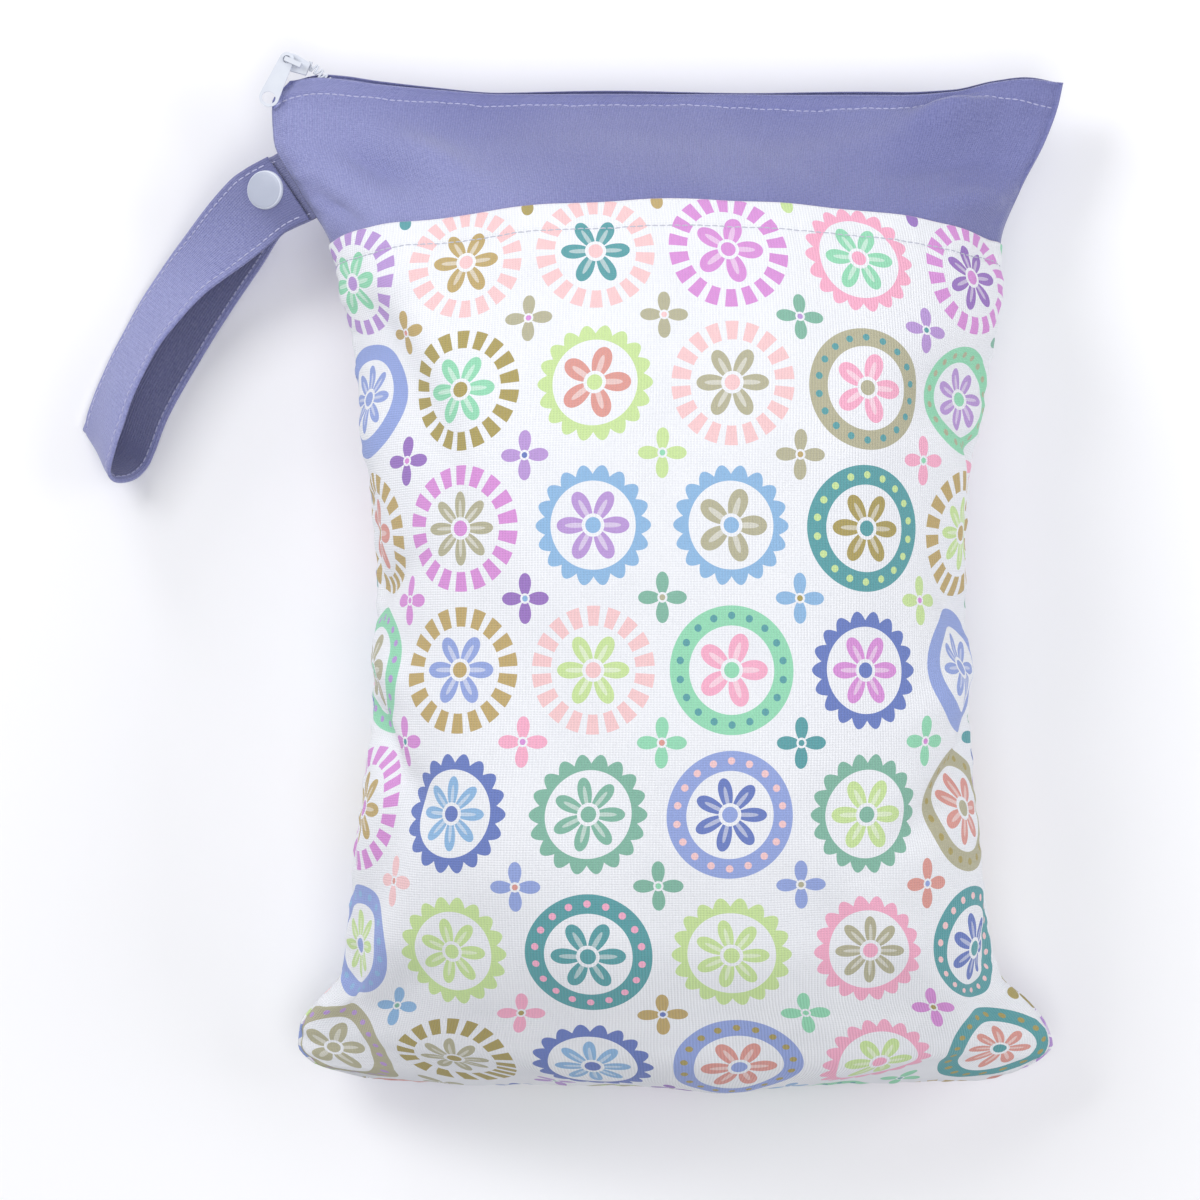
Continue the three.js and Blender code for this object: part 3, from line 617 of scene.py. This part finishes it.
# The print: the lattice's pitch, the ring's radius, half width and parts, the radii of flowers and hearts,
# and the two lattices' shifts in shares of the pitch.
PITCH, RING, RING_HALF, RING_PARTS = 52.0, 19.6, 3.6, 18
FLOWER, FLOWER_FROM, HEART = 13.6, 4.2, 2.9
SMALL_FLOWER, SMALL_FROM, SMALL_HEART = 9.2, 1.9, 1.1
ROSETTES_AT, SMALL_AT = 0.27, 0.77


def printed_cloth():
    """White knit printed with round rosettes in a square lattice, and four-leaved figures between them."""
    g = Graph("printed_knit")
    x, y, place = flat_place(g)
    loops = knit(g, x, y, 1.15, 0.9)
    picks, value, r, angle = cell(g, x, y, PITCH, ROSETTES_AT)
    sectors = g.math("MULTIPLY", angle, RING_PARTS / (2 * math.pi))
    sector = g.math("SUBTRACT", g.math("FRACT", sectors), 0.5)
    arc = g.math("MULTIPLY", sector, 2 * math.pi * RING / RING_PARTS)
    from_ring = g.math("SUBTRACT", r, RING)
    band = g.math("LESS_THAN", g.math("ABSOLUTE", from_ring), RING_HALF)
    squares = [g.math("MULTIPLY", part, part) for part in (arc, from_ring)]
    dots = g.math("LESS_THAN", g.math("SQRT", g.math("ADD", *squares)), 1.35)
    dashed = g.math("MULTIPLY", band, g.math("LESS_THAN", g.math("ABSOLUTE", sector), 0.31))
    wave = g.math("ABSOLUTE", g.math("COSINE", g.math("MULTIPLY", angle, RING_PARTS / 2)))
    scallop = between(g, r, RING - RING_HALF, g.math("MULTIPLY_ADD", wave, 3.4, RING - 1.2))
    is_dashed = g.math("GREATER_THAN", value, 0.68)
    is_scallop = g.math("LESS_THAN", value, 0.34)
    plain_ring = g.math("SUBTRACT", 1.0, g.math("ADD", is_dashed, is_scallop))
    ring_mask = g.math(
        "ADD",
        g.math("MULTIPLY", plain_ring, band),
        g.math("ADD", g.math("MULTIPLY", is_dashed, dashed), g.math("MULTIPLY", is_scallop, scallop)),
    )
    petals = g.math("ADD", 5.0, g.math("FLOOR", g.math("MULTIPLY", picks[2], 3.99)))
    turn = g.math("MULTIPLY", g.math("MULTIPLY", angle, petals), 0.5)
    leaf = g.math("POWER", g.math("ABSOLUTE", g.math("COSINE", turn)), 0.62)
    flower = between(g, r, FLOWER_FROM, g.math("MULTIPLY", leaf, FLOWER))
    vein_end = g.math("MULTIPLY", g.math("POWER", leaf, 9.0), 10.5)
    vein = g.math("MULTIPLY", g.math("LESS_THAN", r, vein_end), flower)
    heart = g.math("LESS_THAN", r, HEART)
    small_picks, _, small_r, small_angle = cell(g, x, y, PITCH, SMALL_AT)
    four = g.math("POWER", g.math("ABSOLUTE", g.math("COSINE", g.math("MULTIPLY", small_angle, 2.0))), 1.1)
    small = between(g, small_r, SMALL_FROM, g.math("MULTIPLY", four, SMALL_FLOWER))
    bead = g.math("LESS_THAN", small_r, SMALL_HEART)

    ground = g.mix(g.noise(place, 0.05, 2.0), rgb(239, 241, 247), rgb(248, 249, 253))
    color = g.mix(ring_mask, ground, palette(g, picks[0], 5))
    color = g.mix(g.math("MULTIPLY", dots, plain_ring), color, palette(g, picks[1], 3))
    color = g.mix(flower, color, palette(g, picks[1], 7))
    color = g.mix(g.math("MULTIPLY", vein, 0.4), color, rgb(255, 255, 255))
    color = g.mix(heart, color, palette(g, picks[0], 5))
    color = g.mix(small, color, palette(g, small_picks[0], 9))
    color = g.mix(bead, color, palette(g, small_picks[1], 5))
    color = g.mix(g.math("MULTIPLY_ADD", loops, 0.08, 0.08), color, rgb(150, 152, 172))
    hem_edge = HEM_TOP + FLAT_START
    fold = between(g, y, hem_edge - 0.5, hem_edge + 0.5)
    color = g.mix(g.math("MULTIPLY", fold, 0.55), color, rgb(226, 188, 206))
    fuzz = g.noise(place, 1.1, 3.0, 0.7)
    normal = g.bump(loops, 0.45, 0.0004, g.bump(fuzz, 0.3, 0.0005))
    return g.finish(color, 0.78, normal, Sheen_Weight=0.12, Sheen_Roughness=0.5, Specular_IOR_Level=0.25)


def thread(name, color):
    g = Graph(name)
    place = g.node("ShaderNodeTexCoord").outputs["Object"]
    twist = g.noise(place, 2500.0, 2.0)
    shade = rgb(*[c * 0.86 for c in color])
    return g.finish(g.mix(twist, shade, rgb(*color)), 0.7, g.bump(twist, 0.4, 0.0002))


def plastic(name, color, shade, roughness):
    g = Graph(name)
    place = g.node("ShaderNodeTexCoord").outputs["Object"]
    cloudy = g.noise(place, 160.0, 3.0)
    fine = g.noise(place, 1400.0, 2.0)
    normal = g.bump(fine, 0.12, 0.00008)
    rough = g.math("MULTIPLY_ADD", cloudy, 0.12, roughness)
    return g.finish(g.mix(cloudy, rgb(*shade), rgb(*color)), rough, normal, Specular_IOR_Level=0.5)


lavender = plain_cloth("lavender_knit")
# A darker copy of the lavender knit: painted shade for the inside of the strap's loop.
lavender_painted_shade = plain_cloth("lavender_painted_shade", 0.8)
printed = printed_cloth()
lavender_thread = thread("lavender_thread", (196, 197, 232))
grey_thread = thread("grey_thread", (205, 207, 222))
zip_white = plastic("zip_white", (222, 226, 234), (206, 211, 223), 0.34)
snap_pearl = plastic("snap_pearl", (184, 190, 207), (172, 178, 196), 0.3)
# A brighter copy of the snap's plastic: a painted highlight for the cap's rim.
snap_painted_highlight = plastic("snap_painted_highlight", (222, 227, 238), (210, 216, 229), 0.28)
tape_white = plastic("tape_white", (226, 229, 237), (210, 214, 225), 0.8)


# Making pieces
def piece(name, verts, faces, mat, stands_for=(), uvs=None, body="bag"):
    """Makes a smooth mesh of its own, in millimetres, that may stand for nodes of the frame."""
    mesh = bpy.data.meshes.new(name)
    mesh.from_pydata((np.asarray(verts) * MM).tolist(), [], faces)
    mesh.update()
    if uvs is not None:
        layer = mesh.uv_layers.new(name="UVMap")
        loops = np.empty(len(mesh.loops), dtype=np.int32)
        mesh.loops.foreach_get("vertex_index", loops)
        layer.data.foreach_set("uv", np.asarray(uvs)[loops].ravel())
    mesh.materials.append(mat)
    mesh.polygons.foreach_set("use_smooth", [True] * len(mesh.polygons))
    obj = bpy.data.objects.new(name, mesh)
    bpy.context.scene.collection.objects.link(obj)
    if stands_for:
        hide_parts(*stands_for)
    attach(obj, body)
    return obj


def slab(outer, inner, flip=False):
    """Vertices and faces of a closed sheet between two grids."""
    rows, columns = outer.shape[:2]
    at = np.arange(rows * columns).reshape(rows, columns)
    inside = at + rows * columns

    def quads(a, b, c, d):
        q = np.stack([a.ravel(), b.ravel(), c.ravel(), d.ravel()], 1)
        return q[:, ::-1] if flip else q

    faces = [
        quads(at[:-1, :-1], at[1:, :-1], at[1:, 1:], at[:-1, 1:]),
        quads(inside[:-1, :-1], inside[:-1, 1:], inside[1:, 1:], inside[1:, :-1]),
        quads(at[:-1, 0], inside[:-1, 0], inside[1:, 0], at[1:, 0]),
        quads(at[:-1, -1], at[1:, -1], inside[1:, -1], inside[:-1, -1]),
        quads(at[0, :-1], at[0, 1:], inside[0, 1:], inside[0, :-1]),
        quads(at[-1, :-1], inside[-1, :-1], inside[-1, 1:], at[-1, 1:]),
    ]
    return np.concatenate([outer.reshape(-1, 3), inner.reshape(-1, 3)]), np.concatenate(faces).tolist()


def ring_faces(first, rings, count, turned=False):
    """Faces between rings of count points each, closed at both ends; their first point has number first."""
    faces = []
    for start in range(first, first + (rings - 1) * count, count):
        for k in range(count):
            m = (k + 1) % count
            a, b, c, d = start + k, start + m, start + count + m, start + count + k
            faces.append([a, d, c, b] if turned else [a, b, c, d])
    ends = [[first + k for k in range(count)], [first + (rings - 1) * count + k for k in range(count)]]
    ends[1 if turned else 0].reverse()
    return faces + ends


def flat_uvs(us, vs, side):
    """The place on the flat cloth, in shares of UV_SIZE. The back is cut from another part of the print."""
    u, v = np.meshgrid(us, vs, indexing="ij")
    x, y = (u - 0.5) * FLAT_WIDTH / UV_SIZE, v * FLAT_LENGTH / UV_SIZE
    uv = np.stack([x + 0.5, y + FLAT_START / UV_SIZE] if side > 0 else [1.47 - x, y + 1.09], 2).reshape(-1, 2)
    return np.concatenate([uv, uv])


def panel(name, form, side, us, vs, lift, mat, stands_for, thickness=CLOTH):
    """A sheet of cloth over part of the form, lifted off it by lift(us, vs) millimetres."""
    points = on_grid(form, us, vs)
    n = normals(points) * side
    u, v = np.meshgrid(us, vs, indexing="ij")
    outer = points + n * lift(u, v)[..., None]
    inner = outer - n * thickness
    inner[..., 2] = np.maximum(inner[..., 2], 0.02 if side < 0 else 0)
    outer[..., 2] = np.maximum(outer[..., 2], 0)
    verts, faces = slab(outer, inner, flip=side < 0)
    return piece(name, verts, faces, mat, stands_for, flat_uvs(us, vs, side))


def spread(start, end, step, fine=(), fine_step=0.9):
    """Places from start to end in millimetres along the flat cloth, closer together round the fine ones."""
    places, at = [start], start
    while at < end - 1e-6:
        near = min([abs(at - f) for f in fine], default=99)
        at += fine_step if near < 4 else step
        places.append(min(at, end))
    return np.array(places) / FLAT_LENGTH


HEM_STITCH = HEM_TOP - HEM


def ripples(distance, period, seed):
    """Uneven little puckers along a line of stitching."""
    t = distance / period * 2 * math.pi
    return np.sin(t + seed) * 0.6 + np.sin(t * 0.37 + 2 * seed) * 0.5 + np.sin(t * 1.73 + 3 * seed) * 0.3


def groove(distance, width):
    return np.exp(-((distance / width) ** 2))


def rounded_edge(distance, radius):
    """How far a sheet's face drops towards its folded edge."""
    return radius * (1 - np.sqrt(np.clip(1 - np.clip(1 - distance / radius, 0, 1) ** 2, 0, 1)))


def seam_lift(u, v):
    """The swelling beside the side and bottom seams, gathered into small puckers."""
    side, bottom = np.minimum(u, 1 - u) * FLAT_WIDTH, v * FLAT_LENGTH
    swell = 1.4 * (1 - groove(np.minimum(side, bottom), 2.6))
    beside = (1 - groove(side, 2.4)) * np.exp(-side / 13) * ripples(bottom, 11.5, 0.7 + 2 * (u > 0.5))
    above = (1 - groove(bottom, 2.4)) * np.exp(-bottom / 9) * ripples(u * FLAT_WIDTH, 14, 1.9)
    return swell + 0.8 * beside * smooth(bottom / 12) + 0.45 * above * smooth(side / 12)


def topstitch_at(u):
    """How far up the flat cloth the topstitching lies."""
    return FLAT_LENGTH - curve(TOPSTITCH)(u) + 0.35 * ripples(u * FLAT_WIDTH, 31, 0.3)


def print_lift(u, v):
    at = v * FLAT_LENGTH
    over_band = 1.5 * smooth((at - (HEM_TOP - 38)) / 16)
    hem = 0.7 * smooth((at - HEM_STITCH + 1.5) / 2.0)
    stitch = 0.55 * groove(at - HEM_STITCH, 0.9)
    near_stitch = np.exp(-np.abs(at - HEM_STITCH) / 7) * smooth((HEM_TOP - at) / 3)
    pucker = 0.25 * ripples(u * FLAT_WIDTH, 9, 1.3) * near_stitch
    seam = 0.35 + 0.65 * smooth(np.minimum(u, 1 - u) / 0.02)
    return seam_lift(u, v) + (over_band + hem - rounded_edge(HEM_TOP - at, 1.3) - stitch + pucker) * seam


def band_lift(u, v):
    at = v * FLAT_LENGTH
    from_stitch = at - topstitch_at(u)
    pucker = 0.3 * ripples(u * FLAT_WIDTH, 12, 0.4) * np.exp(-np.abs(from_stitch) / 8)
    return seam_lift(u, v) + pucker - 0.55 * groove(from_stitch, 0.9) - rounded_edge(FLAT_LENGTH - at, 0.9)


def columns_across(count):
    """Places across a panel: count of them over its middle, and more closely spaced ones beside its seams."""
    near_seam = np.linspace(0, 0.04, 14)[:-1], np.linspace(0.96, 1, 14)[1:]
    return np.concatenate([near_seam[0], np.linspace(0.04, 0.96, count), near_seam[1]])


LAP = 20
us, us_back = columns_across(201), columns_across(121)
ZIP_ROWS = tuple(FLAT_LENGTH - d for d in (7, 9, 11))
zip_fine = (*ZIP_ROWS, FLAT_LENGTH)
front_print = panel(
    "front_print_cloth", front_form, 1, us, spread(0, HEM_TOP, 2.1, (0, HEM_STITCH, HEM_TOP)), print_lift,
    printed, ("front_print_panel",),
)
front_band = panel(
    "front_band_cloth", front_form, 1, us, spread(HEM_TOP - LAP, FLAT_LENGTH, 1.6, zip_fine), band_lift,
    lavender, ("front_upper_panel",),
)
back_print = panel(
    "back_print_cloth", back_form, -1, us_back, spread(0, HEM_TOP - 0.2, 3.0, (0,)), seam_lift,
    printed, ("back_print_panel",),
)
back_band = panel(
    "back_band_cloth", back_form, -1, us_back, spread(HEM_TOP + 0.2, FLAT_LENGTH, 2.2, zip_fine), band_lift,
    lavender, ("back_upper_panel",),
)


# Stitching
def capsules(name, starts, ends, ups, radius, mat, body="bag"):
    """One mesh of short rounded threads whose ends dip into a surface; ups are its normals, one a thread."""
    rings, sides = [(0.0, 0.35), (0.12, 0.85), (0.5, 1.0), (0.88, 0.85), (1.0, 0.35)], 6
    verts, faces = [], []
    for a, b, up in zip(starts, ends, ups):
        along = b - a
        across = np.cross(along, up)
        across /= np.linalg.norm(across)
        base = len(verts)
        for t, share in rings:
            middle = a + along * t + up * radius * (0.9 * math.sin(math.pi * t) - 0.25)
            for k in range(sides):
                angle = 2 * math.pi * k / sides
                outwards = across * math.cos(angle) * 1.25 + up * math.sin(angle)
                verts.append(middle + radius * share * outwards)
        faces += ring_faces(base, len(rings), sides)
    return piece(name, verts, faces, mat, body=body)


STITCH, STITCH_GAP, STITCH_RADIUS = 2.3, 0.45, 0.23


def stitch_line(name, form, side, lift, v_of_u, margin, mat):
    """Stitches across a panel, on the cloth that lift raises off the form, from margin to 1 - margin."""
    u = np.linspace(margin, 1 - margin, 600)
    v = v_of_u(u)
    weights_u, weights_v = spline_weights(u, form.shape[0]), spline_weights(v, form.shape[1])

    def at(wu, wv):
        return np.einsum("na,abk,nb->nk", wu, form, wv, optimize=True)

    p = at(weights_u, weights_v)
    pu = at(spline_weights(u + 0.002, form.shape[0]), weights_v) - p
    pv = at(weights_u, spline_weights(v - 0.002, form.shape[1])) - p
    n = np.cross(pu, -pv) * side
    n /= np.linalg.norm(n, axis=1, keepdims=True)
    p = p + n * lift(u, v)[:, None]
    length = line_length(p)
    heads = np.arange(0.5, length[-1] - STITCH, STITCH + STITCH_GAP)
    starts, ends = at_length(p, length, heads), at_length(p, length, heads + STITCH)
    ups = at_length(n, length, heads + STITCH / 2)
    return capsules(name, starts, ends, ups, STITCH_RADIUS, mat)


def topstitch_share(u):
    return topstitch_at(u) / FLAT_LENGTH


def hem_stitch_share(u):
    return np.full(u.shape, HEM_STITCH / FLAT_LENGTH)


for name, form, side in (("zip_topstitch", front_form, 1), ("zip_topstitch_back", back_form, -1)):
    stitch_line(name, form, side, band_lift, topstitch_share, 0.004, lavender_thread)
stitch_line("hem_stitch", front_form, 1, print_lift, hem_stitch_share, 0.006, grey_thread)

# The strap
STRAP_WIDTH = 30.0
STRAP_CLOTH = 1.6
STRAP_LOOP = 120.0
STRAP_PATH = 2 * (STRAP_LOOP + 5)
STRAP_SEAM = 2.6
ROOT = np.array([-148.3, 158.8, 34.8])
ROOT_TURN, ROOT_TILT = -56.0, 13.6
# x and y in shares of the loop from the root, z in shares of the root's height, turn and tilt in degrees.
STRAP = [
    (0.035, 0.023, 1.0, ROOT_TURN, ROOT_TILT),
    (-0.007, -0.005, 1.0, ROOT_TURN, ROOT_TILT),
    (-0.04, -0.018, 0.939, -56, 13),
    (-0.098, -0.048, 0.85, -52, 14.2),
    (-0.155, -0.09, 0.764, -48, 15.3),
    (-0.25, -0.195, 0.47, -42, 5),
    (-0.367, -0.345, 0.15, -37, -1),
    (-0.471, -0.507, 0.037, -36, 0),
    (-0.558, -0.661, 0.031, -36, 0),
    (-0.604, -0.778, 0.031, -36, 1),
    (-0.621, -0.823, 0.039, -38, 4),
    (-0.629, -0.848, 0.074, -47, 18),
    (-0.628, -0.848, 0.115, -58, 33),
    (-0.618, -0.823, 0.134, -61, 42),
    (-0.596, -0.761, 0.134, -55, 50),
    (-0.554, -0.653, 0.131, -44, 55),
    (-0.471, -0.498, 0.137, -38, 56),
    (-0.367, -0.336, 0.256, -36, 47),
    (-0.25, -0.19, 0.65, -42, 27),
    (-0.155, -0.09, 0.914, -48, 15.3),
    (-0.098, -0.048, 1.0, -52, 14.2),
    (-0.026, -0.0115, 1.105, -56, 13),
]


def strap_grid(steps, columns):
    """Points of the strap's middle surface, a row for each step along it, and their outward directions."""
    table = np.array(STRAP, float)
    rows = spline_weights(np.linspace(0, 1, steps), len(table)) @ table
    in_plan = [ROOT[k] + rows[:, k] * STRAP_LOOP for k in range(2)]
    edge = np.stack([*in_plan, rows[:, 2] * ROOT[2]], 1)
    turn, tilt = np.radians(rows[:, 3]), np.radians(rows[:, 4])
    across = np.stack([np.cos(turn) * np.cos(tilt), np.sin(turn) * np.cos(tilt), np.sin(tilt)], 1)
    share = np.asarray(columns)
    points = edge[:, None, :] + across[:, None, :] * (share * STRAP_WIDTH)[None, :, None]
    return points, -normals(points)


def strap_shape(steps, columns):
    """The strap's middle surface with its soft waves and the puckers along its seams."""
    points, n = strap_grid(steps, columns)
    t = np.linspace(0, 1, steps)[:, None] * STRAP_PATH
    s = np.asarray(columns)[None, :]
    middle = np.sin(math.pi * s)
    height = 0.35 * np.sin(t / 9.0 + 3 * s) * middle + 0.25 * np.sin(t / 5.1 + 1.0 - 4 * s)
    edge_gap = np.minimum(s, 1 - s) * STRAP_WIDTH
    height += 0.18 * np.sin(t / 1.9 + 9 * s) * np.exp(-np.abs(edge_gap - STRAP_SEAM) / 2)
    free = smooth(t / 30) * smooth((STRAP_PATH - t) / 34)
    return points + n * (height * free)[..., None], n


# The loop's inside gets painted shade, a darker copy of the lavender, between the strap's seams, and over its
# whole width near the sewn end.
PAINTED_SHADE_ROWS, SEAM_COLUMNS = 28, 5


def build_strap():
    """The strap, one folded ribbon of doubled cloth."""
    rim = np.array([0.0, 0.006, 0.02, 0.045, 0.075, 0.087, 0.1, 0.13])
    columns = np.concatenate([rim, np.linspace(0.17, 0.83, 15), 1 - rim[::-1]])
    steps = 420
    points, n = strap_shape(steps, columns)
    gap = np.minimum(columns, 1 - columns) * STRAP_WIDTH
    half = STRAP_CLOTH / 2 * np.sqrt(np.clip(1 - np.clip(1 - gap / 0.9, 0, 1) ** 2, 0.02, 1))
    half = half - 0.22 * groove(gap - STRAP_SEAM, 0.45)
    outer, inner = points + n * half[None, :, None], points - n * half[None, :, None]
    verts, faces = slab(outer, inner, flip=True)
    t = np.linspace(0, 1, steps) * 2 * STRAP_LOOP
    u, v = np.meshgrid(t / UV_SIZE, columns * STRAP_WIDTH / UV_SIZE, indexing="ij")
    uvs = np.concatenate([np.stack([v, u], 2).reshape(-1, 2)] * 2)
    ribbon = piece("strap_ribbon", verts, faces, lavender, ("strap",), uvs)
    # The loop's inner faces take the darker copy of the lavender: painted shade.
    ribbon.data.materials.append(lavender_painted_shade)
    across = len(columns) - 1
    a_side = (steps - 1) * across
    painted_shade_to = a_side + PAINTED_SHADE_ROWS * across
    shaded = []
    for k in range(len(faces)):
        between_seams = SEAM_COLUMNS <= k % across < across - SEAM_COLUMNS
        shaded.append(int(a_side <= k < 2 * a_side and (k < painted_shade_to or between_seams)))
    ribbon.data.polygons.foreach_set("material_index", shaded)
    return ribbon


strap = build_strap()


STRAP_STITCH, STRAP_STITCH_STEP, STRAP_THREAD = 2.5, 3.1, 0.24


def strap_stitches(name, share, side):
    """One seam's stitches along the whole strap, on its outer (side 1) or inner (side -1) face."""
    points, n = strap_shape(900, [share, share + 0.01])
    p = points[:, 0] + n[:, 0] * side * (STRAP_CLOTH / 2 - 0.15)
    n = n[:, 0] * side
    length = line_length(p)
    heads = np.arange(7.0, length[-1] - 4, STRAP_STITCH_STEP)
    starts, ends = at_length(p, length, heads), at_length(p, length, heads + STRAP_STITCH)
    ups = at_length(n, length, heads + 1.2)
    return capsules(name, starts, ends, ups, STRAP_THREAD, lavender_thread)


for share, label in ((STRAP_SEAM / STRAP_WIDTH, "upper"), (1 - STRAP_SEAM / STRAP_WIDTH, "lower")):
    strap_stitches("strap_stitch_%s_out" % label, share, 1)
    strap_stitches("strap_stitch_%s_in" % label, share, -1)


# The zip
# The coil lies below the zip edge by its clearance and half its width, and its left end rises to the slider.
COIL_GAP, COIL_HALF = 0.9, 1.8
END_RISE, END_RISE_LENGTH, END_RISE_TO = 9.0, 26, -124
COIL_FROM, COIL_TO, TOOTH_PITCH = -142.6, 139.3, 1.18


def zip_line(x):
    """The y of the coil's middle at places x."""
    across = (2 * x - ZIP_LEFT - ZIP_RIGHT) / (ZIP_RIGHT - ZIP_LEFT)
    end_rise = END_RISE * smooth(1 - (x - ZIP_LEFT) / END_RISE_LENGTH) * smooth((END_RISE_TO - x) / 11)
    return BOTTOM_Y + BAG_LENGTH * (1 + curve(ZIP_EDGE)(across)) - COIL_GAP - COIL_HALF + end_rise


def build_coil():
    """The closed teeth: a short rounded bar for each turn of the coil."""
    xs = np.linspace(COIL_FROM, COIL_TO, 1200)
    ys = zip_line(xs)
    length = np.concatenate([[0], np.cumsum(np.hypot(np.diff(xs), np.diff(ys)))])
    heads = np.arange(0.3, length[-1], TOOTH_PITCH)
    half_profile = [(0.2, 0.78), (1.2, 0.62), (1.7, 0.45), (COIL_HALF, 0.15)]
    profile = [(-offset, thick) for offset, thick in reversed(half_profile)] + half_profile
    verts, faces, sides = [], [], 6
    for number, head in enumerate(heads):
        x, y = np.interp(head, length, xs), np.interp(head, length, ys)
        next_x, next_y = np.interp(head + 0.5, length, xs), np.interp(head + 0.5, length, ys)
        along = np.array([next_x - x, next_y - y, 0.0])
        along /= np.linalg.norm(along)
        across = np.array([-along[1], along[0], 0.0])
        skew = 0.22 if number % 2 else -0.22
        base = len(verts)
        for offset, thick in profile:
            middle = np.array([x, y, ZIP_HEIGHT]) + across * offset + along * skew * offset
            for k in range(sides):
                angle = 2 * math.pi * k / sides
                upwards = np.array([0, 0, thick * math.sin(angle)])
                verts.append(middle + along * 0.46 * math.cos(angle) + upwards)
        faces += ring_faces(base, len(profile), sides, turned=True)
    return piece("zip_teeth", verts, faces, zip_white, ("zip_coil",))


build_coil()


def soften(node, mat, width):
    """Rounds the edges of a node of the frame and gives it a material."""
    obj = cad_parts[node]
    bevel = obj.modifiers.new("round", "BEVEL")
    bevel.width = width * MM
    bevel.segments = 2
    bevel.limit_method = "ANGLE"
    bevel.angle_limit = math.radians(38)
    for slot in obj.material_slots:
        slot.material = mat


soften("zip_slider", zip_white, 0.25)
soften("zip_pull", zip_white, 0.28)
soften("zip_tape", tape_white, 0.1)
for node in ("snap_back_cap", "snap_socket", "snap_stud"):
    soften(node, snap_pearl, 0.12)

# The cap's outline from the middle of its face outwards: radius and height as shares of the cap's.
CAP = [
    (0.0, 1.0), (0.2, 0.99), (0.4, 0.98), (0.6, 0.96), (0.76, 0.94), (0.86, 0.92), (0.92, 0.89),
    (0.96, 0.82), (0.985, 0.72), (1.0, 0.54), (1.0, 0.3), (0.985, 0.12), (0.95, 0.0), (0.0, 0.0),
]
# The rings of the cap's rim that get the painted highlight.
HIGHLIGHT_FROM, HIGHLIGHT_TO = 5, 9
CAP_WIDER, CAP_THICKER = 0.35, 0.25


def build_cap():
    """The snap's round cap, a low dome whose rounded rim carries a painted highlight, on the axis of the
    frame's own cap.
    """
    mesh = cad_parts["snap_cap"].data
    points = np.array([v.co for v in mesh.vertices]) / MM
    middle = (points.min(0) + points.max(0)) / 2
    axis = np.linalg.svd(points - points.mean(0), full_matrices=False)[2][2]
    axis = axis if axis[2] > 0 else -axis
    heights = (points - middle) @ axis
    radius = np.linalg.norm((points - middle) - heights[:, None] * axis, axis=1).max() + CAP_WIDER
    thickness = heights.max() - heights.min() + CAP_THICKER
    side = np.cross(axis, [0, 1, 0])
    side /= np.linalg.norm(side)
    other, turns = np.cross(axis, side), 96
    verts = []
    for share, height in CAP[1:-1]:
        at = heights.min() + height * thickness
        for k in range(turns):
            angle = 2 * math.pi * k / turns
            outwards = side * math.cos(angle) + other * math.sin(angle)
            verts.append(middle + axis * at + radius * share * outwards)
    faces = ring_faces(0, len(CAP) - 2, turns, turned=True)
    cap = piece("snap_cap_dome", verts, faces, snap_pearl, ("snap_cap",))
    # The rim's rings take the brighter plastic: a painted highlight.
    cap.data.materials.append(snap_painted_highlight)
    for polygon in cap.data.polygons:
        ring = polygon.index // turns
        polygon.material_index = 1 if HIGHLIGHT_FROM <= ring < HIGHLIGHT_TO else 0
    return cap


build_cap()


# Floor, light and camera
def floor():
    mesh = bpy.data.meshes.new("floor")
    mesh.from_pydata([(-4, -4, 0), (4, -4, 0), (4, 4, 0), (-4, 4, 0)], [], [(0, 1, 2, 3)])
    g = Graph("floor_pale")
    g.finish(rgb(250, 250, 253), 0.9)
    mesh.materials.append(g.mat)
    obj = bpy.data.objects.new("floor", mesh)
    obj.location.z = -0.0002
    bpy.context.scene.collection.objects.link(obj)


def softbox(name, place, size, energy):
    light = bpy.data.lights.new(name, "AREA")
    light.energy, light.size = energy, size
    obj = bpy.data.objects.new(name, light)
    obj.location = place
    obj.rotation_mode = "QUATERNION"
    obj.rotation_quaternion = (Vector((0, 0, 0.05)) - Vector(place)).to_track_quat("-Z", "Y")
    bpy.context.scene.collection.objects.link(obj)


floor()
softbox("key", (-1.0, 0.8, 1.3), 0.7, 12)
softbox("rake", (-0.75, 1.45, 0.5), 0.4, 4.6)
softbox("side", (1.3, 0.2, 1.0), 0.8, 8)
softbox("top", (0.1, -0.4, 2.2), 1.2, 14.5)
world = bpy.data.worlds.new("studio")
world.use_nodes = True
world.node_tree.nodes["Background"].inputs[0].default_value = (0.97, 0.98, 1.0, 1)
world.node_tree.nodes["Background"].inputs[1].default_value = 0.38
bpy.context.scene.world = world
bpy.context.scene.view_settings.view_transform = "Standard"

# Straight above the photograph's middle, and as wide as the photograph at the height that it looks at.
FIELD, DISTANCE, SENSOR = 0.45, 2.0, 36
VIEW_MIDDLE, VIEW_HEIGHT = (-0.02625, -0.009375), 0.045
camera = bpy.data.cameras.new("camera")
camera.sensor_width = SENSOR
camera.lens = SENSOR * DISTANCE / FIELD
camera_obj = bpy.data.objects.new("camera", camera)
camera_obj.location = (*VIEW_MIDDLE, DISTANCE + VIEW_HEIGHT)
bpy.context.scene.collection.objects.link(camera_obj)
bpy.context.scene.camera = camera_obj
